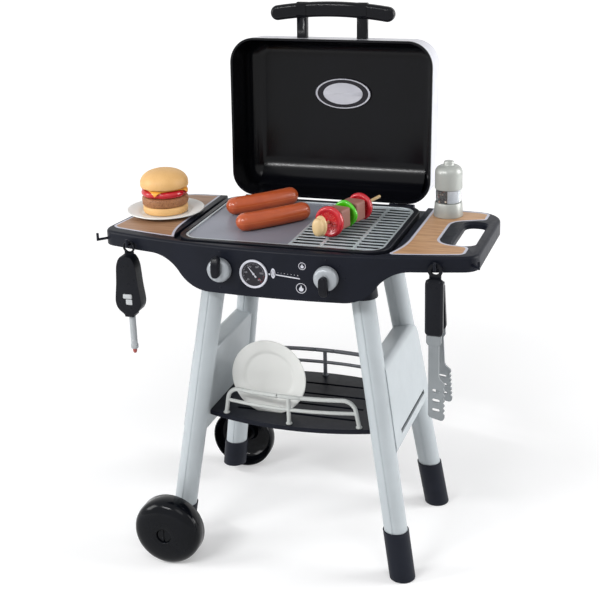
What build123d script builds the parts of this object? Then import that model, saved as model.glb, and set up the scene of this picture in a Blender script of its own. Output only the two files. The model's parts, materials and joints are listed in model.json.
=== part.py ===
from build123d import *
import os
from math import atan, cos, degrees, pi, radians, sin, sqrt, tan

# A toy barbecue grill on a four-legged cart, with its food and tools. Lengths are in millimetres.
# The cart faces -Y, +X is its right-hand side, and Z = 0 is the floor.

# General fits
overrun = 8.0
seat_gap = 0.3
slip_gap = 0.05
press_gap = 0.02
origin_back = 20.5

# Deck: the black moulded body with its two side shelves
deck_top = 466.0
deck_skirt = 20.0
deck_wall = 3.0
deck_edge_round = 4.0
deck_right = 258.5
deck_left_front = 258.0
deck_left_back = 229.0
deck_front = 128.0
deck_front_bow = 35.8
deck_back = 110.0
deck_back_bow = 10.5
front_corner = 22.0
back_right_corner = 38.0
back_left_corner = 45.0
fascia_drop = 64.5
fascia_half_flat = 92.0
fascia_curve_run = 85.0
recess_half = 151.0
recess_front = 114.5
recess_drop = 6.0
web_bottom_drop = 56.0
web_top_drop = 23.0
web_x = 97.0

# Firebox and the cooking plate in it
firebox_half = 144.5
firebox_front = 109.0
firebox_back = 103.0
firebox_corner = 30.0
firebox_rise = 1.5
firebox_step = 11.0
firebox_ledge_drop = 4.0
firebox_floor_drop = 19.0
firebox_wall = 2.0
plate_band = 7.4
plate_rim_width = 3.0
plate_rim_rise = 1.0
griddle_drop = 0.8
griddle_edge = 12.0
grate_left = 14.0
grate_right = 133.0
bar_count = 16
bar_width = 5.6
bar_rise = 0.5
bar_chamfer = 1.2
grate_rib_width = 4.0
grate_rib_drop = 2.2
grate_rib_shares = (0.336, 0.706)

# Wooden inlays and their pale borders
inlay_depth = 1.2
inlay_back_margin = 5.0
left_front_margin = 17.0
right_front_margin = 10.0
inlay_inner = 159.5
inlay_bend_start = 40.0
right_inlay_outer = 240.5
inlay_round = 5.0
front_tip_round = 11.0
back_tip_round = 6.0
border_width = 3.5
grip_surround_left = 197.0
grip_surround_front = 49.0
grip_surround_front_flare = 8.5
grip_surround_back = 46.7
grip_surround_back_flare = 28.0
grip_surround_corner = 22.0

# Grip opening in the right-hand shelf
grip_left = 216.0
grip_right = 245.0
grip_front = 50.0
grip_back = 50.0
grip_corner = 12.0
grip_wall = 4.0
grip_depth = 9.0
grip_chamfer = 3.0

# Legs, their sockets and their feet
leg_floor_x = 165.96
leg_floor_y = 108.95
leg_deck_x = 103.56
leg_deck_y = 73.03
leg_survey_height = 400.0
leg_radius = 15.9
leg_wall = 1.8
leg_seam_width = 1.0
leg_seam_depth = 0.6
socket_drop = 71.0
socket_wall = 4.0
socket_roof = 3.0
socket_fit = 0.2
foot_height = 71.0
foot_floor = 6.0
foot_wall = 1.6
foot_fit = 0.15
foot_chamfer = 1.5
axle_foot_bottom = 25.0
axle_foot_top = 67.0
axle_foot_floor = 3.0

# Wheels and their bolts
axle_height = 49.0
axle_x = 161.0
wheel_radius = 49.0
wheel_inner_face = 140.0
wheel_depth = 33.0
wheel_wall = 3.0
wheel_tread = 15.0
wheel_dome_shares = ((0.97, 0.66), (0.88, 0.84), (0.62, 0.96))
hub_radius = 9.0
bolt_radius = 5.0
bolt_head_radius = 10.0
bolt_head_height = 3.5
bolt_slot_width = 2.0
bolt_slot_depth = 1.4
wheel_recess_radius = 10.8
wheel_recess_depth = 6.5
bolt_grip = 16.0

# Side panels between the legs
panel_rise = 97.5
panel_drop = 27.0
panel_inner_half = 11.5
panel_outer_half = 17.5
panel_rear_wrap = 8.0
panel_corner = 27.0
panel_round = 9.0
panel_small_round = 3.0
panel_leg_fit = 0.2
panel_slot_front = 60.0
panel_slot_back = 74.0
panel_slot_fit = 0.3

# Lower tray and its rails
tray_top = 202.0
tray_thick = 6.5
tray_front = 93.0
tray_bow = 21.2
tray_groove_width = 5.0
tray_groove_depth = 5.0
tray_groove_half = 88.0
tray_groove_shares = (-0.57, -0.19, 0.19, 0.57)
tongue_top_drop = 1.3
tongue_bottom_drop = 7.2
tongue_reach = 151.0
rail_rise = 40.0
low_rail_rise = 21.0
rail_radius = 3.0
low_rail_radius = 2.5
rail_half = 96.6
rail_top_half = 90.0
rail_front = 85.0
rail_bow = 11.8
rail_bend = 15.0
rail_spans = 4
bend_steps = 3
rail_foot_radius = 4.5
rail_foot_height = 2.0

# Lid, drawn shut and then swung open about its hinge
hinge_stand = 9.2
hinge_drop = 7.0
lid_open_angle = 93.6
lid_rim_drop = 3.0
lid_half = 148.5
lid_front = 113.5
lid_back = 114.5
lid_front_corner = 36.0
lid_back_corner = 33.0
lid_draft = 2.0
liner_wall = 1.5
liner_depth = 72.5
liner_round = 24.0
cove_half = 125.0
cove_radius = 42.0
cover_lift = 4.0
cover_wall = 1.6
cover_round = 29.0
cover_rise = 78.0
cover_inner_chamfer = 14.7
hinge_x = 109.0
hinge_width = 36.0
hinge_lug_width = 12.0
hinge_ear_radius = 5.5
hinge_lug_radius = 5.0
hinge_pin_radius = 2.0
hinge_side_gap = 0.3

# Lid handle and the bare oval badge inside the lid
handle_post_x = 44.0
handle_post_width = 14.6
handle_post_thick = 8.0
handle_post_rise = 18.0
handle_reach = 153.8
handle_half = 80.0
handle_bow = 6.0
handle_bar = 21.0
handle_bar_depth = 15.0
handle_round = 5.0
handle_band = 0.8
badge_half_width = 43.0
badge_half_height = 22.5
badge_thick = 2.5
badge_y = -28.5

# Knobs and gauge on the fascia
knob_x = 72.4
knob_drop = 30.3
knob_radius = 16.0
knob_skirt = 4.2
knob_depth = 12.2
knob_face_radius = 10.5
knob_air = 0.6
knob_shaft_radius = 4.0
knob_clip_radius = 5.5
knob_clip_thick = 2.0
lever_width = 12.0
lever_long = 21.5
lever_short = 6.5
lever_depth = 9.5
lever_chamfer = 1.5
gauge_x = -25.8
gauge_drop = 32.8
gauge_radius = 19.3
gauge_thick = 3.4
gauge_bezel = 2.4
gauge_sink = 1.2

# Hooks
hook_radius = 1.8
hook_drop = 12.0
hook_x = 209.0
hook_reach = 12.6
hook_rise = 9.0

# Lighter, hanging at the left
tool_ring_plane = 111.6
tool_ring_thick = 3.0
tool_ring_hole = 5.2
tool_hang_gap = 0.3
tool_drop = 13.0
lighter_ring_radius = 8.5
lighter_neck_width = 13.0
lighter_shape_shares = ((0.00, 0.42), (0.06, 0.60), (0.16, 0.74), (0.45, 0.85), (0.64, 0.96), (0.74, 1.00),
                        (0.82, 0.92), (0.91, 0.62), (1.00, 0.31))
lighter_width = 37.5
lighter_length = 85.0
lighter_thick = 18.0
lighter_front = 127.0
lighter_chamfer = 3.5
button_width = 13.0
button_drop = 52.0
button_length = 15.5
button_stroke = 6.0
button_proud = 2.5
button_sink = 4.0
tube_radius = 4.5
tube_bore = 3.2
tube_length = 48.7
flame_radius = 2.9
flame_reach = 7.3
flame_length = 22.0

# Tongs, hanging at the right
tongs_ring_radius = 9.4
tongs_grip_length = 75.5
tongs_grip_width = 23.0
tongs_grip_thick = 8.5
tongs_grip_round = 6.0
tongs_bevel_share = 0.333
tongs_mid_plane = 112.6
collar_length = 12.5
collar_width = 19.5
tong_arm_width = 13.6
tong_arm_thick = 3.0
tong_arm_length = 48.0
blade_length = 56.0
blade_width = 21.6
blade_offset = 4.0
blade_slots = 3
blade_slot_length = 10.5
blade_slot_width = 4.4
blade_teeth = 5
tooth_depth = 2.0
pivot_drop = 7.0
pivot_radius = 1.5
pivot_eye_radius = 4.0
pivot_gap = 0.4
tongs_split = 0.6
tongs_open_angle = 12.5

# Pepper mill
mill_x = 185.5
mill_y = 75.3
mill_radius = 18.7
mill_foot_radius = 20.2
mill_base_height = 20.0
mill_window_radius = 17.5
mill_window_height = 18.0
mill_wall = 2.0
mill_cap_straight = 22.5
mill_shoulder = 10.0
mill_shoulder_radius = 9.0
mill_knob_radius = 7.0
mill_knob_height = 6.0
mill_total = 76.7
mill_seat = 0.2

# Plates, as sold one flat on the shelf and one in the rack
dish_radius = 54.5
dish_foot_radius = 31.0
dish_well_radius = 34.0
dish_wall_radius = 38.0
dish_height = 7.0
dish_well_depth = 3.0
dish_thick = 2.0
burger_plate_x = -204.0
burger_plate_y = 3.0
dish_air = 0.2
rack_plate_x = -40.0
rack_plate_lean = 3.0

# Burger
bun_radius = 31.5
bun_base_height = 11.0
bun_chamfer = 2.0
patty_radius = 32.5
patty_height = 13.0
patty_inset = 1.5
tomato_radius = 33.0
tomato_height = 10.0
tomato_chamfer = 2.5
cheese_side = 54.0
cheese_thick = 2.0
bun_top_radius = 33.8
bun_top_height = 24.5
bun_top_shares = ((1.00, 0.22), (0.86, 0.66), (0.52, 0.93))
stack_gap = 0.2

# Sausages
sausage_radius = 12.3
sausage_half = 56.0
sausage_bend = 3.0
sausage_turn = 48.0
sausage_ring_shares = ((0.45, 0.11), (0.81, 0.42))
rear_sausage_x = -73.4
rear_sausage_y = 47.7
front_sausage_x = -33.0
front_sausage_y = -20.8

# Skewer
skewer_x = 50.0
skewer_y = -80.0
skewer_heading = 75.5
skewer_length = 157.0
stick_radius = 2.2
stick_lobe_thick = 8.5
stick_lobe_round = 3.5
stick_lobes = ((-6.0, 12.5, 8.0), (2.5, 14.0, 9.0))
slice_radii = (21.0, 19.0)
slice_thick = 9.0
slice_chamfer = 2.5
pepper_radius = 18.5
pepper_thick = 6.0
meat_side = 27.0
meat_length = 24.0
meat_round = 4.0
slice_places = (24.0, 103.0)
meat_places = (44.0, 83.0)
pepper_place = 63.0
skewer_bore_gap = 0.1

# Values worked out from the sizes above
lean_x = (leg_floor_x - leg_deck_x) / leg_survey_height
lean_y = (leg_floor_y - leg_deck_y) / leg_survey_height
lean_stretch = sqrt(1 + lean_x ** 2 + lean_y ** 2)
span = 4 * deck_right
skirt_bottom = deck_top - deck_skirt
recess_floor = deck_top - recess_drop
fascia_bottom = deck_top - fascia_drop
web_bottom = deck_top - web_bottom_drop
web_top = deck_top - web_top_drop
socket_bottom = deck_top - socket_drop
firebox_ledge = deck_top - firebox_ledge_drop
firebox_floor = deck_top - firebox_floor_drop
plate_rim_top = deck_top + plate_rim_rise
griddle_top = deck_top - griddle_drop
bar_top = deck_top + bar_rise
knob_z = deck_top - knob_drop
gauge_z = deck_top - gauge_drop
panel_top = tray_top + panel_rise
panel_bottom = tray_top - panel_drop
tongue_top = tray_top - tongue_top_drop
tongue_bottom = tray_top - tongue_bottom_drop
rail_top = tray_top + rail_rise
rail_low = tray_top + low_rail_rise
hinge_y = deck_back + hinge_stand
hinge_z = deck_top - hinge_drop
lid_rim = deck_top - lid_rim_drop
cover_start = lid_rim + cover_lift
cover_top = lid_rim + cover_rise
hook_z = deck_top - hook_drop
tool_top = hook_z - tool_drop
lighter_bottom = tool_top - lighter_length
button_top = tool_top - button_drop
button_bottom = button_top - button_length
tube_bottom = lighter_bottom - tube_length
flame_bottom = tube_bottom - flame_reach
grip_bottom = tool_top - tongs_grip_length
collar_bottom = grip_bottom - collar_length
blade_top = collar_bottom - tong_arm_length
blade_bottom = blade_top - blade_length
pivot_z = tool_top - pivot_drop
tray_end = leg_floor_x - lean_x * tray_top - panel_inner_half * sqrt(1 + lean_x ** 2) - seat_gap
centred_up = (Align.CENTER, Align.CENTER, Align.MIN)
sides = {"left": -1, "right": 1}
ends = {"front": -1, "rear": 1}
draft_slope = tan(radians(lid_draft))
hinge_axis = Axis((0, hinge_y, hinge_z), (1, 0, 0))


def bow_radius(sagitta, half_chord):
    """Radius of the arc that rises by a sagitta over half a chord."""
    return (sagitta ** 2 + half_chord ** 2) / (2 * sagitta)


def bow_depth(x, sagitta, half_chord):
    """How far the arc has fallen away at x from its middle."""
    radius = bow_radius(sagitta, half_chord)
    return radius - sqrt(radius ** 2 - x ** 2)


def front_face(x):
    """Y of the deck's bowed front face at x."""
    return -deck_front + bow_depth(x, deck_front_bow, deck_right)


def slab(low, high):
    """Wide block between two heights, which trims pieces level."""
    return Pos(0, 0, low) * Box(span, span, high - low, align=centred_up)


def prism(face, low, high):
    """Flat outline raised between two heights."""
    return Pos(0, 0, low) * extrude(face, high - low)


def block(x_low, x_high, y_low, y_high, z_low, z_high):
    """Box between two values on each axis."""
    box = Box(x_high - x_low, y_high - y_low, z_high - z_low, align=(Align.MIN, Align.MIN, Align.MIN))
    return Pos(x_low, y_low, z_low) * box


def bar_along_y(x, z, radius, y_low, y_high):
    """Round bar along Y."""
    bar = Cylinder(radius, y_high - y_low, align=centred_up)
    return Pos(x, y_low, z) * Rot(-90, 0, 0) * bar


def bar_along_x(y, z, radius, x_low, x_high):
    """Round bar along X."""
    bar = Cylinder(radius, x_high - x_low, align=centred_up)
    return Pos(x_low, y, z) * Rot(0, 90, 0) * bar


def rod(points, radius):
    """Round rod through points, mitred at each one."""
    path = Polyline(*points)
    first = Vector(*points[0])
    heading = Vector(*points[1]) - first
    section = Plane(origin=first, z_dir=heading) * Circle(radius)
    return sweep(section, path=path, transition=Transition.RIGHT)


def turned(profile_points):
    """Solid of revolution about Z from (radius, height) points."""
    outline = make_face(Plane.XZ * Polyline(*profile_points, close=True))
    return revolve(outline, Axis.Z, 360)


def rounded(x_low, x_high, y_low, y_high, corner):
    """Flat rectangle with rounded corners between two values on each axis."""
    face = RectangleRounded(x_high - x_low, y_high - y_low, corner)
    return Pos((x_low + x_high) / 2, (y_low + y_high) / 2) * face


# Legs, feet and wheels

def leg_plane(side, end, height):
    """Plane square to a leg at a height, its X axis level with the cart's."""
    spot = Vector(side * (leg_floor_x - lean_x * height), end * (leg_floor_y - lean_y * height), height)
    axis = Vector(-side * lean_x, -end * lean_y, 1)
    return Plane(origin=spot, x_dir=Vector(0, 1, 0).cross(axis), z_dir=axis)


def leg_bar(side, end, low, high, extra):
    """Leg-shaped bar between two heights, thicker than the leg by an extra radius."""
    start = low - overrun
    stop = high + overrun
    bar = Cylinder(leg_radius + extra, (stop - start) * lean_stretch, align=centred_up)
    return (leg_plane(side, end, start) * bar) & slab(low, high)


def leg_seam(side, end, low, high):
    """Shallow groove down the front of a leg, where its two halves meet."""
    length = (high - low) * lean_stretch
    groove = Box(leg_seam_width, 2 * leg_seam_depth, length + 2 * overrun)
    return leg_plane(side, end, (low + high) / 2) * Pos(0, -leg_radius, 0) * groove


def leg_end(side):
    """Height of a leg's lower end, which stands on the floor inside its foot."""
    if side > 0:
        return foot_floor
    return axle_foot_bottom + axle_foot_floor


def leg(side, end):
    """Tube from its foot up into the deck socket, with a moulding seam down its front."""
    low = leg_end(side)
    high = web_top - socket_roof
    tube = leg_bar(side, end, low, high, 0) - leg_bar(side, end, low, high, -leg_wall)
    return tube - leg_seam(side, end, low, high)


def standing_foot(side, end):
    """Cap that the right-hand legs stand in, cut level on the floor."""
    cup = leg_bar(side, end, 0, foot_height, foot_fit + foot_wall)
    cup = chamfer(cup.edges().group_by(Axis.Z)[0], foot_chamfer)
    return cup - leg_bar(side, end, foot_floor, foot_height, foot_fit)


def axle_foot(side, end):
    """Cap of the left-hand legs, with the boss that carries a wheel."""
    cup = leg_bar(side, end, axle_foot_bottom, axle_foot_top, foot_fit + foot_wall)
    leg_y = end * (leg_floor_y - lean_y * axle_height)
    boss_low, boss_high = sorted((leg_y, end * (wheel_inner_face - seat_gap)))
    cup += bar_along_y(-axle_x, axle_height, hub_radius, boss_low, boss_high)
    cup -= leg_bar(side, end, axle_foot_bottom + axle_foot_floor, axle_foot_top, foot_fit)
    bore_low, bore_high = sorted((end * (wheel_inner_face - bolt_grip), end * (wheel_inner_face + overrun)))
    return cup - bar_along_y(-axle_x, axle_height, bolt_radius + press_gap, bore_low, bore_high)


def wheel(end):
    """Domed shell wheel, open inside, with a hub tube and a recess for the bolt's head."""
    inner = wheel_radius - wheel_wall
    crown = wheel_depth - wheel_recess_depth
    outer_dome = [(wheel_radius * r, wheel_depth * h) for r, h in wheel_dome_shares]
    inner_dome = [(r - wheel_wall, h - wheel_wall) for r, h in reversed(outer_dome)]
    hub_bore = bolt_radius + slip_gap
    profile = [
        (hub_bore, 0), (hub_radius, 0), (hub_radius, crown - wheel_wall),
        (wheel_recess_radius + wheel_wall, crown - wheel_wall),
        *inner_dome, (inner, wheel_tread), (inner, 0),
        (wheel_radius, 0), (wheel_radius, wheel_tread), *outer_dome,
        (wheel_recess_radius + wheel_wall, wheel_depth), (wheel_recess_radius, wheel_depth),
        (wheel_recess_radius, crown), (hub_bore, crown),
    ]
    turn = Rot(90, 0, 0) if end < 0 else Rot(-90, 0, 0)
    return Pos(-axle_x, end * wheel_inner_face, axle_height) * turn * turned(profile)


def wheel_bolt(end):
    """Bolt through a wheel's hub into its boss, with a slotted round head."""
    shank = bolt_grip + wheel_depth - wheel_recess_depth + seat_gap
    bolt = Cylinder(bolt_radius, shank, align=centred_up)
    head = Pos(0, 0, shank) * Cylinder(bolt_head_radius, bolt_head_height, align=centred_up)
    slot = Box(bolt_slot_width, 2 * bolt_head_radius, 2 * bolt_slot_depth)
    slot = Pos(0, 0, shank + bolt_head_height) * slot
    turn = Rot(90, 0, 0) if end < 0 else Rot(-90, 0, 0)
    return Pos(-axle_x, end * (wheel_inner_face - bolt_grip), axle_height) * turn * (bolt + head - slot)


# Side panels, tray and rails

def side_panel(side):
    """Thick panel between two legs, round along its top, wrapped on the rear leg, slotted for the tray."""
    middle = (panel_top + panel_bottom) / 2
    slope = sqrt(1 + lean_x ** 2)
    half_rise = (panel_top - panel_bottom) / 2 * slope
    reach = {h: leg_floor_y - lean_y * h for h in (panel_top, panel_bottom)}
    outline = Polyline(
        (-reach[panel_bottom], -half_rise), (reach[panel_bottom] + panel_rear_wrap, -half_rise),
        (reach[panel_top] + panel_rear_wrap, half_rise), (-reach[panel_top], half_rise), close=True)
    face = make_face(outline)
    face = fillet(face.vertices().sort_by(Axis.Y)[-2:].sort_by(Axis.X)[-1:], panel_corner)
    thick = panel_inner_half + panel_outer_half
    plate = extrude(Plane.YZ * face, thick)
    plate = Pos(-panel_inner_half, 0, 0) * plate
    section = Pos((panel_outer_half - panel_inner_half) / 2, 0) * Rectangle(thick, 2 * half_rise)
    section = fillet(section.vertices().sort_by(Axis.X)[-2:], panel_round)
    section = fillet(section.vertices().sort_by(Axis.X)[:2], panel_small_round)
    rounded_bar = extrude(Plane.XZ * section, span / 4, both=True)
    plate = plate & rounded_bar
    if side < 0:
        plate = mirror(plate, Plane.YZ)
    tilt = -side * degrees(atan(lean_x))
    plate = Pos(side * (leg_floor_x - lean_x * middle), 0, middle) * Rot(0, tilt, 0) * plate
    for end in ends.values():
        plate -= leg_bar(side, end, panel_bottom - overrun, panel_top + overrun, panel_leg_fit)
    slot_low = tongue_bottom - panel_slot_fit
    slot_high = tongue_top + panel_slot_fit
    plate -= block(-span, span, -panel_slot_front, panel_slot_back, slot_low, slot_high)
    return max(plate.solids(), key=lambda solid: solid.volume)


def tray_outline():
    """Plan of the lower tray: bowed front and back, straight ends."""
    corner_y = tray_front - tray_bow
    front = ThreePointArc((-tray_end, -corner_y), (0, -tray_front), (tray_end, -corner_y))
    right = Line((tray_end, -corner_y), (tray_end, corner_y))
    back = ThreePointArc((tray_end, corner_y), (0, tray_front), (-tray_end, corner_y))
    left = Line((-tray_end, corner_y), (-tray_end, -corner_y))
    return make_face([front, right, back, left])


def lower_tray():
    """Tray with long plate grooves and a tongue at each end that sits in the panel's slot."""
    tray = prism(tray_outline(), tray_top - tray_thick, tray_top)
    for share in tray_groove_shares:
        y = share * tray_front
        groove = rounded(-tray_groove_half, tray_groove_half, y - tray_groove_width / 2,
                         y + tray_groove_width / 2, tray_groove_width / 2 - slip_gap)
        tray -= prism(groove, tray_top - tray_groove_depth, tray_top + overrun)
    front = -panel_slot_front + panel_slot_fit
    back = panel_slot_back - panel_slot_fit
    for side in sides.values():
        low, high = sorted((side * (tray_end - overrun), side * tongue_reach))
        tray += block(low, high, front, back, tongue_bottom, tongue_top)
    return tray


def rail_line(end, half, height):
    """Points along a bowed rail at one height."""
    xs = [half * (2 * i / rail_spans - 1) for i in range(rail_spans + 1)]
    return [(x, end * (rail_front - bow_depth(x, rail_bow, rail_half)), height) for x in xs]


def bend(before, corner, after):
    """Points that round a corner between two others."""
    corner = Vector(*corner)
    first = corner + (Vector(*before) - corner).normalized() * rail_bend
    last = corner + (Vector(*after) - corner).normalized() * rail_bend
    shares = [step / bend_steps for step in range(bend_steps + 1)]
    points = [first * (1 - t) ** 2 + corner * 2 * t * (1 - t) + last * t ** 2 for t in shares]
    return [(point.X, point.Y, point.Z) for point in points]


def rail(end):
    """Two bowed bars on three posts; the top bar bends down into the splayed end posts."""
    feet_z = tray_top + rail_foot_height
    corner_y = end * (rail_front - rail_bow)
    feet = [(-rail_half, corner_y, feet_z), (rail_half, corner_y, feet_z)]
    top = rail_line(end, rail_top_half, rail_top)
    left_bend = bend(feet[0], top[0], top[1])
    right_bend = bend(top[-2], top[-1], feet[1])
    bars = rod([feet[0], *left_bend, *top[1:-1], *right_bend, feet[1]], rail_radius)
    low_half = rail_half - (rail_half - rail_top_half) * (rail_low - feet_z) / (rail_top - feet_z)
    bars += rod(rail_line(end, low_half, rail_low), low_rail_radius)
    post = Cylinder(rail_radius, rail_top - feet_z, align=centred_up)
    bars += Pos(0, end * rail_front, feet_z) * post
    foot = Cylinder(rail_foot_radius, rail_foot_height, align=centred_up)
    for x, y in ((-rail_half, corner_y), (0, end * rail_front), (rail_half, corner_y)):
        bars += Pos(x, y, tray_top) * foot
    return bars


# Deck

def deck_outline():
    """Plan of the deck: bowed front and back, square right end, slanted left end, rounded corners."""
    back_y = deck_back - bow_depth(deck_right, deck_back_bow, deck_right)
    left_y = deck_back - bow_depth(deck_left_back, deck_back_bow, deck_right)
    front_right = (deck_right, front_face(deck_right))
    front_left = (-deck_left_front, front_face(deck_left_front))
    front = ThreePointArc(front_left, (0, -deck_front), front_right)
    right = Line(front_right, (deck_right, back_y))
    back = ThreePointArc((deck_right, back_y), (0, deck_back), (-deck_left_back, left_y))
    left = Line((-deck_left_back, left_y), front_left)
    face = make_face([front, right, back, left])
    rounds = ((front_left, front_corner), (front_right, front_corner),
              ((deck_right, back_y), back_right_corner), ((-deck_left_back, left_y), back_left_corner))
    for spot, radius in rounds:
        corner = min(face.vertices(), key=lambda v: (v.center() - Vector(*spot)).length)
        face = fillet(corner, radius)
    return face


def deck_inside():
    """Plan of the space inside the deck's skirt."""
    return offset(deck_outline(), -deck_wall)


def tub_outline():
    """Plan of the tub that hangs through the deck."""
    return rounded(-firebox_half + firebox_step, firebox_half - firebox_step, -firebox_front + firebox_step,
                   firebox_back - firebox_step, firebox_corner - firebox_step)


def fascia(outline):
    """Front wall below the deck, with an S-curve at each end."""
    half_run = fascia_curve_run / 2
    half_rise = (skirt_bottom - fascia_bottom) / 2
    low = Vector(fascia_half_flat, fascia_bottom)
    mid = low + Vector(half_run, half_rise)
    high = mid + Vector(half_run, half_rise)
    right_low = TangentArc(low, mid, tangent=(1, 0))
    right_high = TangentArc(mid, high, tangent=right_low % 1)
    top = Line(high, (-high.X, high.Y))
    left_high = mirror(right_high, Plane.YZ)
    left_low = mirror(right_low, Plane.YZ)
    bottom = Line((-low.X, low.Y), low)
    front_view = make_face([right_low, right_high, top, left_high, left_low, bottom])
    screen = extrude(Plane.XZ * front_view, 2 * deck_front)
    wall = prism(outline - deck_inside(), fascia_bottom, skirt_bottom)
    return wall & screen


def deck_web(outline, x):
    """Beam that ties two sockets to the fascia and to the deck's back."""
    web = block(x - deck_wall / 2, x + deck_wall / 2, -span, span, web_bottom, web_top)
    front_riser = -firebox_front + firebox_step - seat_gap - deck_wall
    back_riser = firebox_back - firebox_step + seat_gap + deck_wall
    underside = recess_floor - deck_wall
    web += block(x - deck_wall / 2, x + deck_wall / 2, -span, front_riser, web_top, underside)
    web += block(x - deck_wall / 2, x + deck_wall / 2, back_riser, span, web_top, underside)
    return web & prism(outline, web_bottom, underside)


def hinge_ear(x_low, x_high):
    """Deck lug round a hinge pin, tied back to the skirt."""
    eye = bar_along_x(hinge_y, hinge_z, hinge_ear_radius, x_low, x_high)
    arm_low = hinge_z - hinge_ear_radius
    arm = block(x_low, x_high, deck_back - 2 * deck_wall, hinge_y, arm_low, recess_floor)
    return eye + arm


def hinge_spans(x):
    """The two stretches of a hinge that belong to the deck, either side of the lid's lug."""
    gap = hinge_lug_width / 2 + hinge_side_gap
    return ((x - hinge_width / 2, x - gap), (x + gap, x + hinge_width / 2))


def deck_shell():
    """Moulded deck: shelves, skirt, fascia, recess for the lid, leg sockets, grip opening and hinge ears."""
    outline = deck_outline()
    deck = prism(outline, skirt_bottom, deck_top)
    deck = fillet(deck.edges().group_by(Axis.Z)[-1], deck_edge_round)
    deck -= prism(deck_inside(), skirt_bottom, deck_top - deck_wall)
    floor_front = -recess_front - deck_wall
    floor_half = recess_half + deck_wall
    floor = rounded(-floor_half, floor_half, floor_front, span, firebox_corner)
    underside = recess_floor - deck_wall
    deck += prism(floor & outline, underside, deck_top - deck_wall)
    deck -= prism(rounded(-recess_half, recess_half, -recess_front, span, firebox_corner - deck_wall),
                  recess_floor, deck_top + overrun)
    deck -= prism(offset(tub_outline(), seat_gap), underside - overrun, deck_top)
    deck += fascia(outline)
    for x in (-web_x, web_x):
        deck += deck_web(outline, x)
    for side in sides.values():
        for end in ends.values():
            deck += leg_bar(side, end, socket_bottom, web_top, socket_fit + socket_wall)
    for side in sides.values():
        for end in ends.values():
            deck -= leg_bar(side, end, socket_bottom - overrun, web_top - socket_roof, socket_fit)
    hole = rounded(grip_left, grip_right, -grip_front, grip_back, grip_corner)
    deck += prism(offset(hole, grip_wall), deck_top - grip_depth, deck_top - deck_wall)
    deck -= prism(hole, skirt_bottom - overrun, deck_top + overrun)
    rim = Pos(0, 0, deck_top) * offset(hole, grip_chamfer)
    deck -= loft([Pos(0, 0, deck_top - grip_chamfer) * hole, rim])
    for region in (left_inlay_region(), right_inlay_region()):
        deck -= prism(region, deck_top - inlay_depth, deck_top + overrun)
    for side in sides.values():
        for x_low, x_high in hinge_spans(side * hinge_x):
            deck += hinge_ear(x_low, x_high)
        arm_room = block(side * hinge_x - hinge_lug_width / 2 - hinge_side_gap,
                         side * hinge_x + hinge_lug_width / 2 + hinge_side_gap,
                         hinge_y - hinge_ear_radius - seat_gap, span, underside - overrun, deck_top)
        deck -= arm_room
        deck -= bar_along_x(hinge_y, hinge_z, hinge_pin_radius + press_gap, side * hinge_x - hinge_width,
                            side * hinge_x + hinge_width)
        deck -= bar_along_y(side * knob_x, knob_z, knob_shaft_radius + slip_gap, -span / 2, -firebox_front)
    gauge_seat = front_face(gauge_x) + gauge_sink
    deck -= bar_along_y(gauge_x, gauge_z, gauge_radius + press_gap, -span / 2, gauge_seat)
    for hook in hook_rods(hook_radius + slip_gap):
        deck -= hook
    return deck


# Inlays

def inlay_field(front_margin):
    """Plan of the shelves' flat field, inside its margins and outside the lid's bay."""
    field = offset(deck_outline(), -inlay_back_margin)
    field = field & (Pos(0, front_margin - inlay_back_margin) * field)
    bay = Pos(0, -inlay_bend_start) * Circle(inlay_inner)
    bay += Pos(0, span / 2 - inlay_bend_start) * Rectangle(2 * inlay_inner, span)
    return field - bay


def grip_surround():
    """Plan of the black surround of the grip opening, flared towards the shelf's end."""
    right = deck_right + overrun
    face = make_face(Polyline(
        (grip_surround_left, -grip_surround_front), (right, -grip_surround_front - grip_surround_front_flare),
        (right, grip_surround_back + grip_surround_back_flare), (grip_surround_left, grip_surround_back),
        close=True))
    return fillet(face.vertices().sort_by(Axis.X)[:2], grip_surround_corner)


def rounded_at(region, spots, radius):
    """Rounds the corners of a plan region that lie nearest to given spots."""
    for spot in spots:
        corner = min(region.vertices(), key=lambda v: (v.center() - Vector(*spot)).length)
        region = fillet(corner, radius)
    return region


def left_inlay_region():
    """Plan of the left-hand pocket."""
    return largest_face(inlay_field(left_front_margin) & (Pos(-span / 2, 0) * Rectangle(span, span)))


def right_inlay_region():
    """Plan of the right-hand pocket, which bends round the grip opening."""
    half_plane = Pos(right_inlay_outer / 2, 0) * Rectangle(right_inlay_outer, span)
    region = largest_face((inlay_field(right_front_margin) & half_plane) - grip_surround())
    region = rounded_at(region, [(inlay_inner, -deck_front)], inlay_round)
    front_edge = -grip_surround_front - grip_surround_front_flare
    back_edge = grip_surround_back + grip_surround_back_flare
    front_tip = [(right_inlay_outer, -deck_front), (right_inlay_outer, front_edge)]
    back_tip = [(right_inlay_outer, deck_back), (right_inlay_outer, back_edge)]
    region = rounded_at(region, front_tip, front_tip_round)
    return rounded_at(region, back_tip, back_tip_round)


def largest_face(region):
    """The largest face of a plan region, ready to be cut or offset."""
    return max(region.faces(), key=lambda face: face.area)


def wood_inlay(region):
    """Wooden sheet inside its border."""
    return prism(offset(region, -border_width), deck_top - inlay_depth, deck_top)


def inlay_border(region):
    """Pale strip round a wooden sheet."""
    rim = offset(region, -press_gap)
    return prism(rim - offset(region, press_gap - border_width), deck_top - inlay_depth, deck_top)


# Firebox and cooking plate

def firebox():
    """Black tub that hangs in the deck, with a raised band and a ledge for the plate."""
    flange = rounded(-firebox_half, firebox_half, -firebox_front, firebox_back, firebox_corner)
    box = prism(flange, recess_floor, deck_top + firebox_rise)
    box += prism(tub_outline(), firebox_floor - firebox_wall, recess_floor)
    pocket = offset(flange, -plate_band)
    box -= prism(pocket, firebox_ledge, deck_top + overrun)
    return box - prism(offset(tub_outline(), -firebox_wall), firebox_floor, firebox_ledge)


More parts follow.
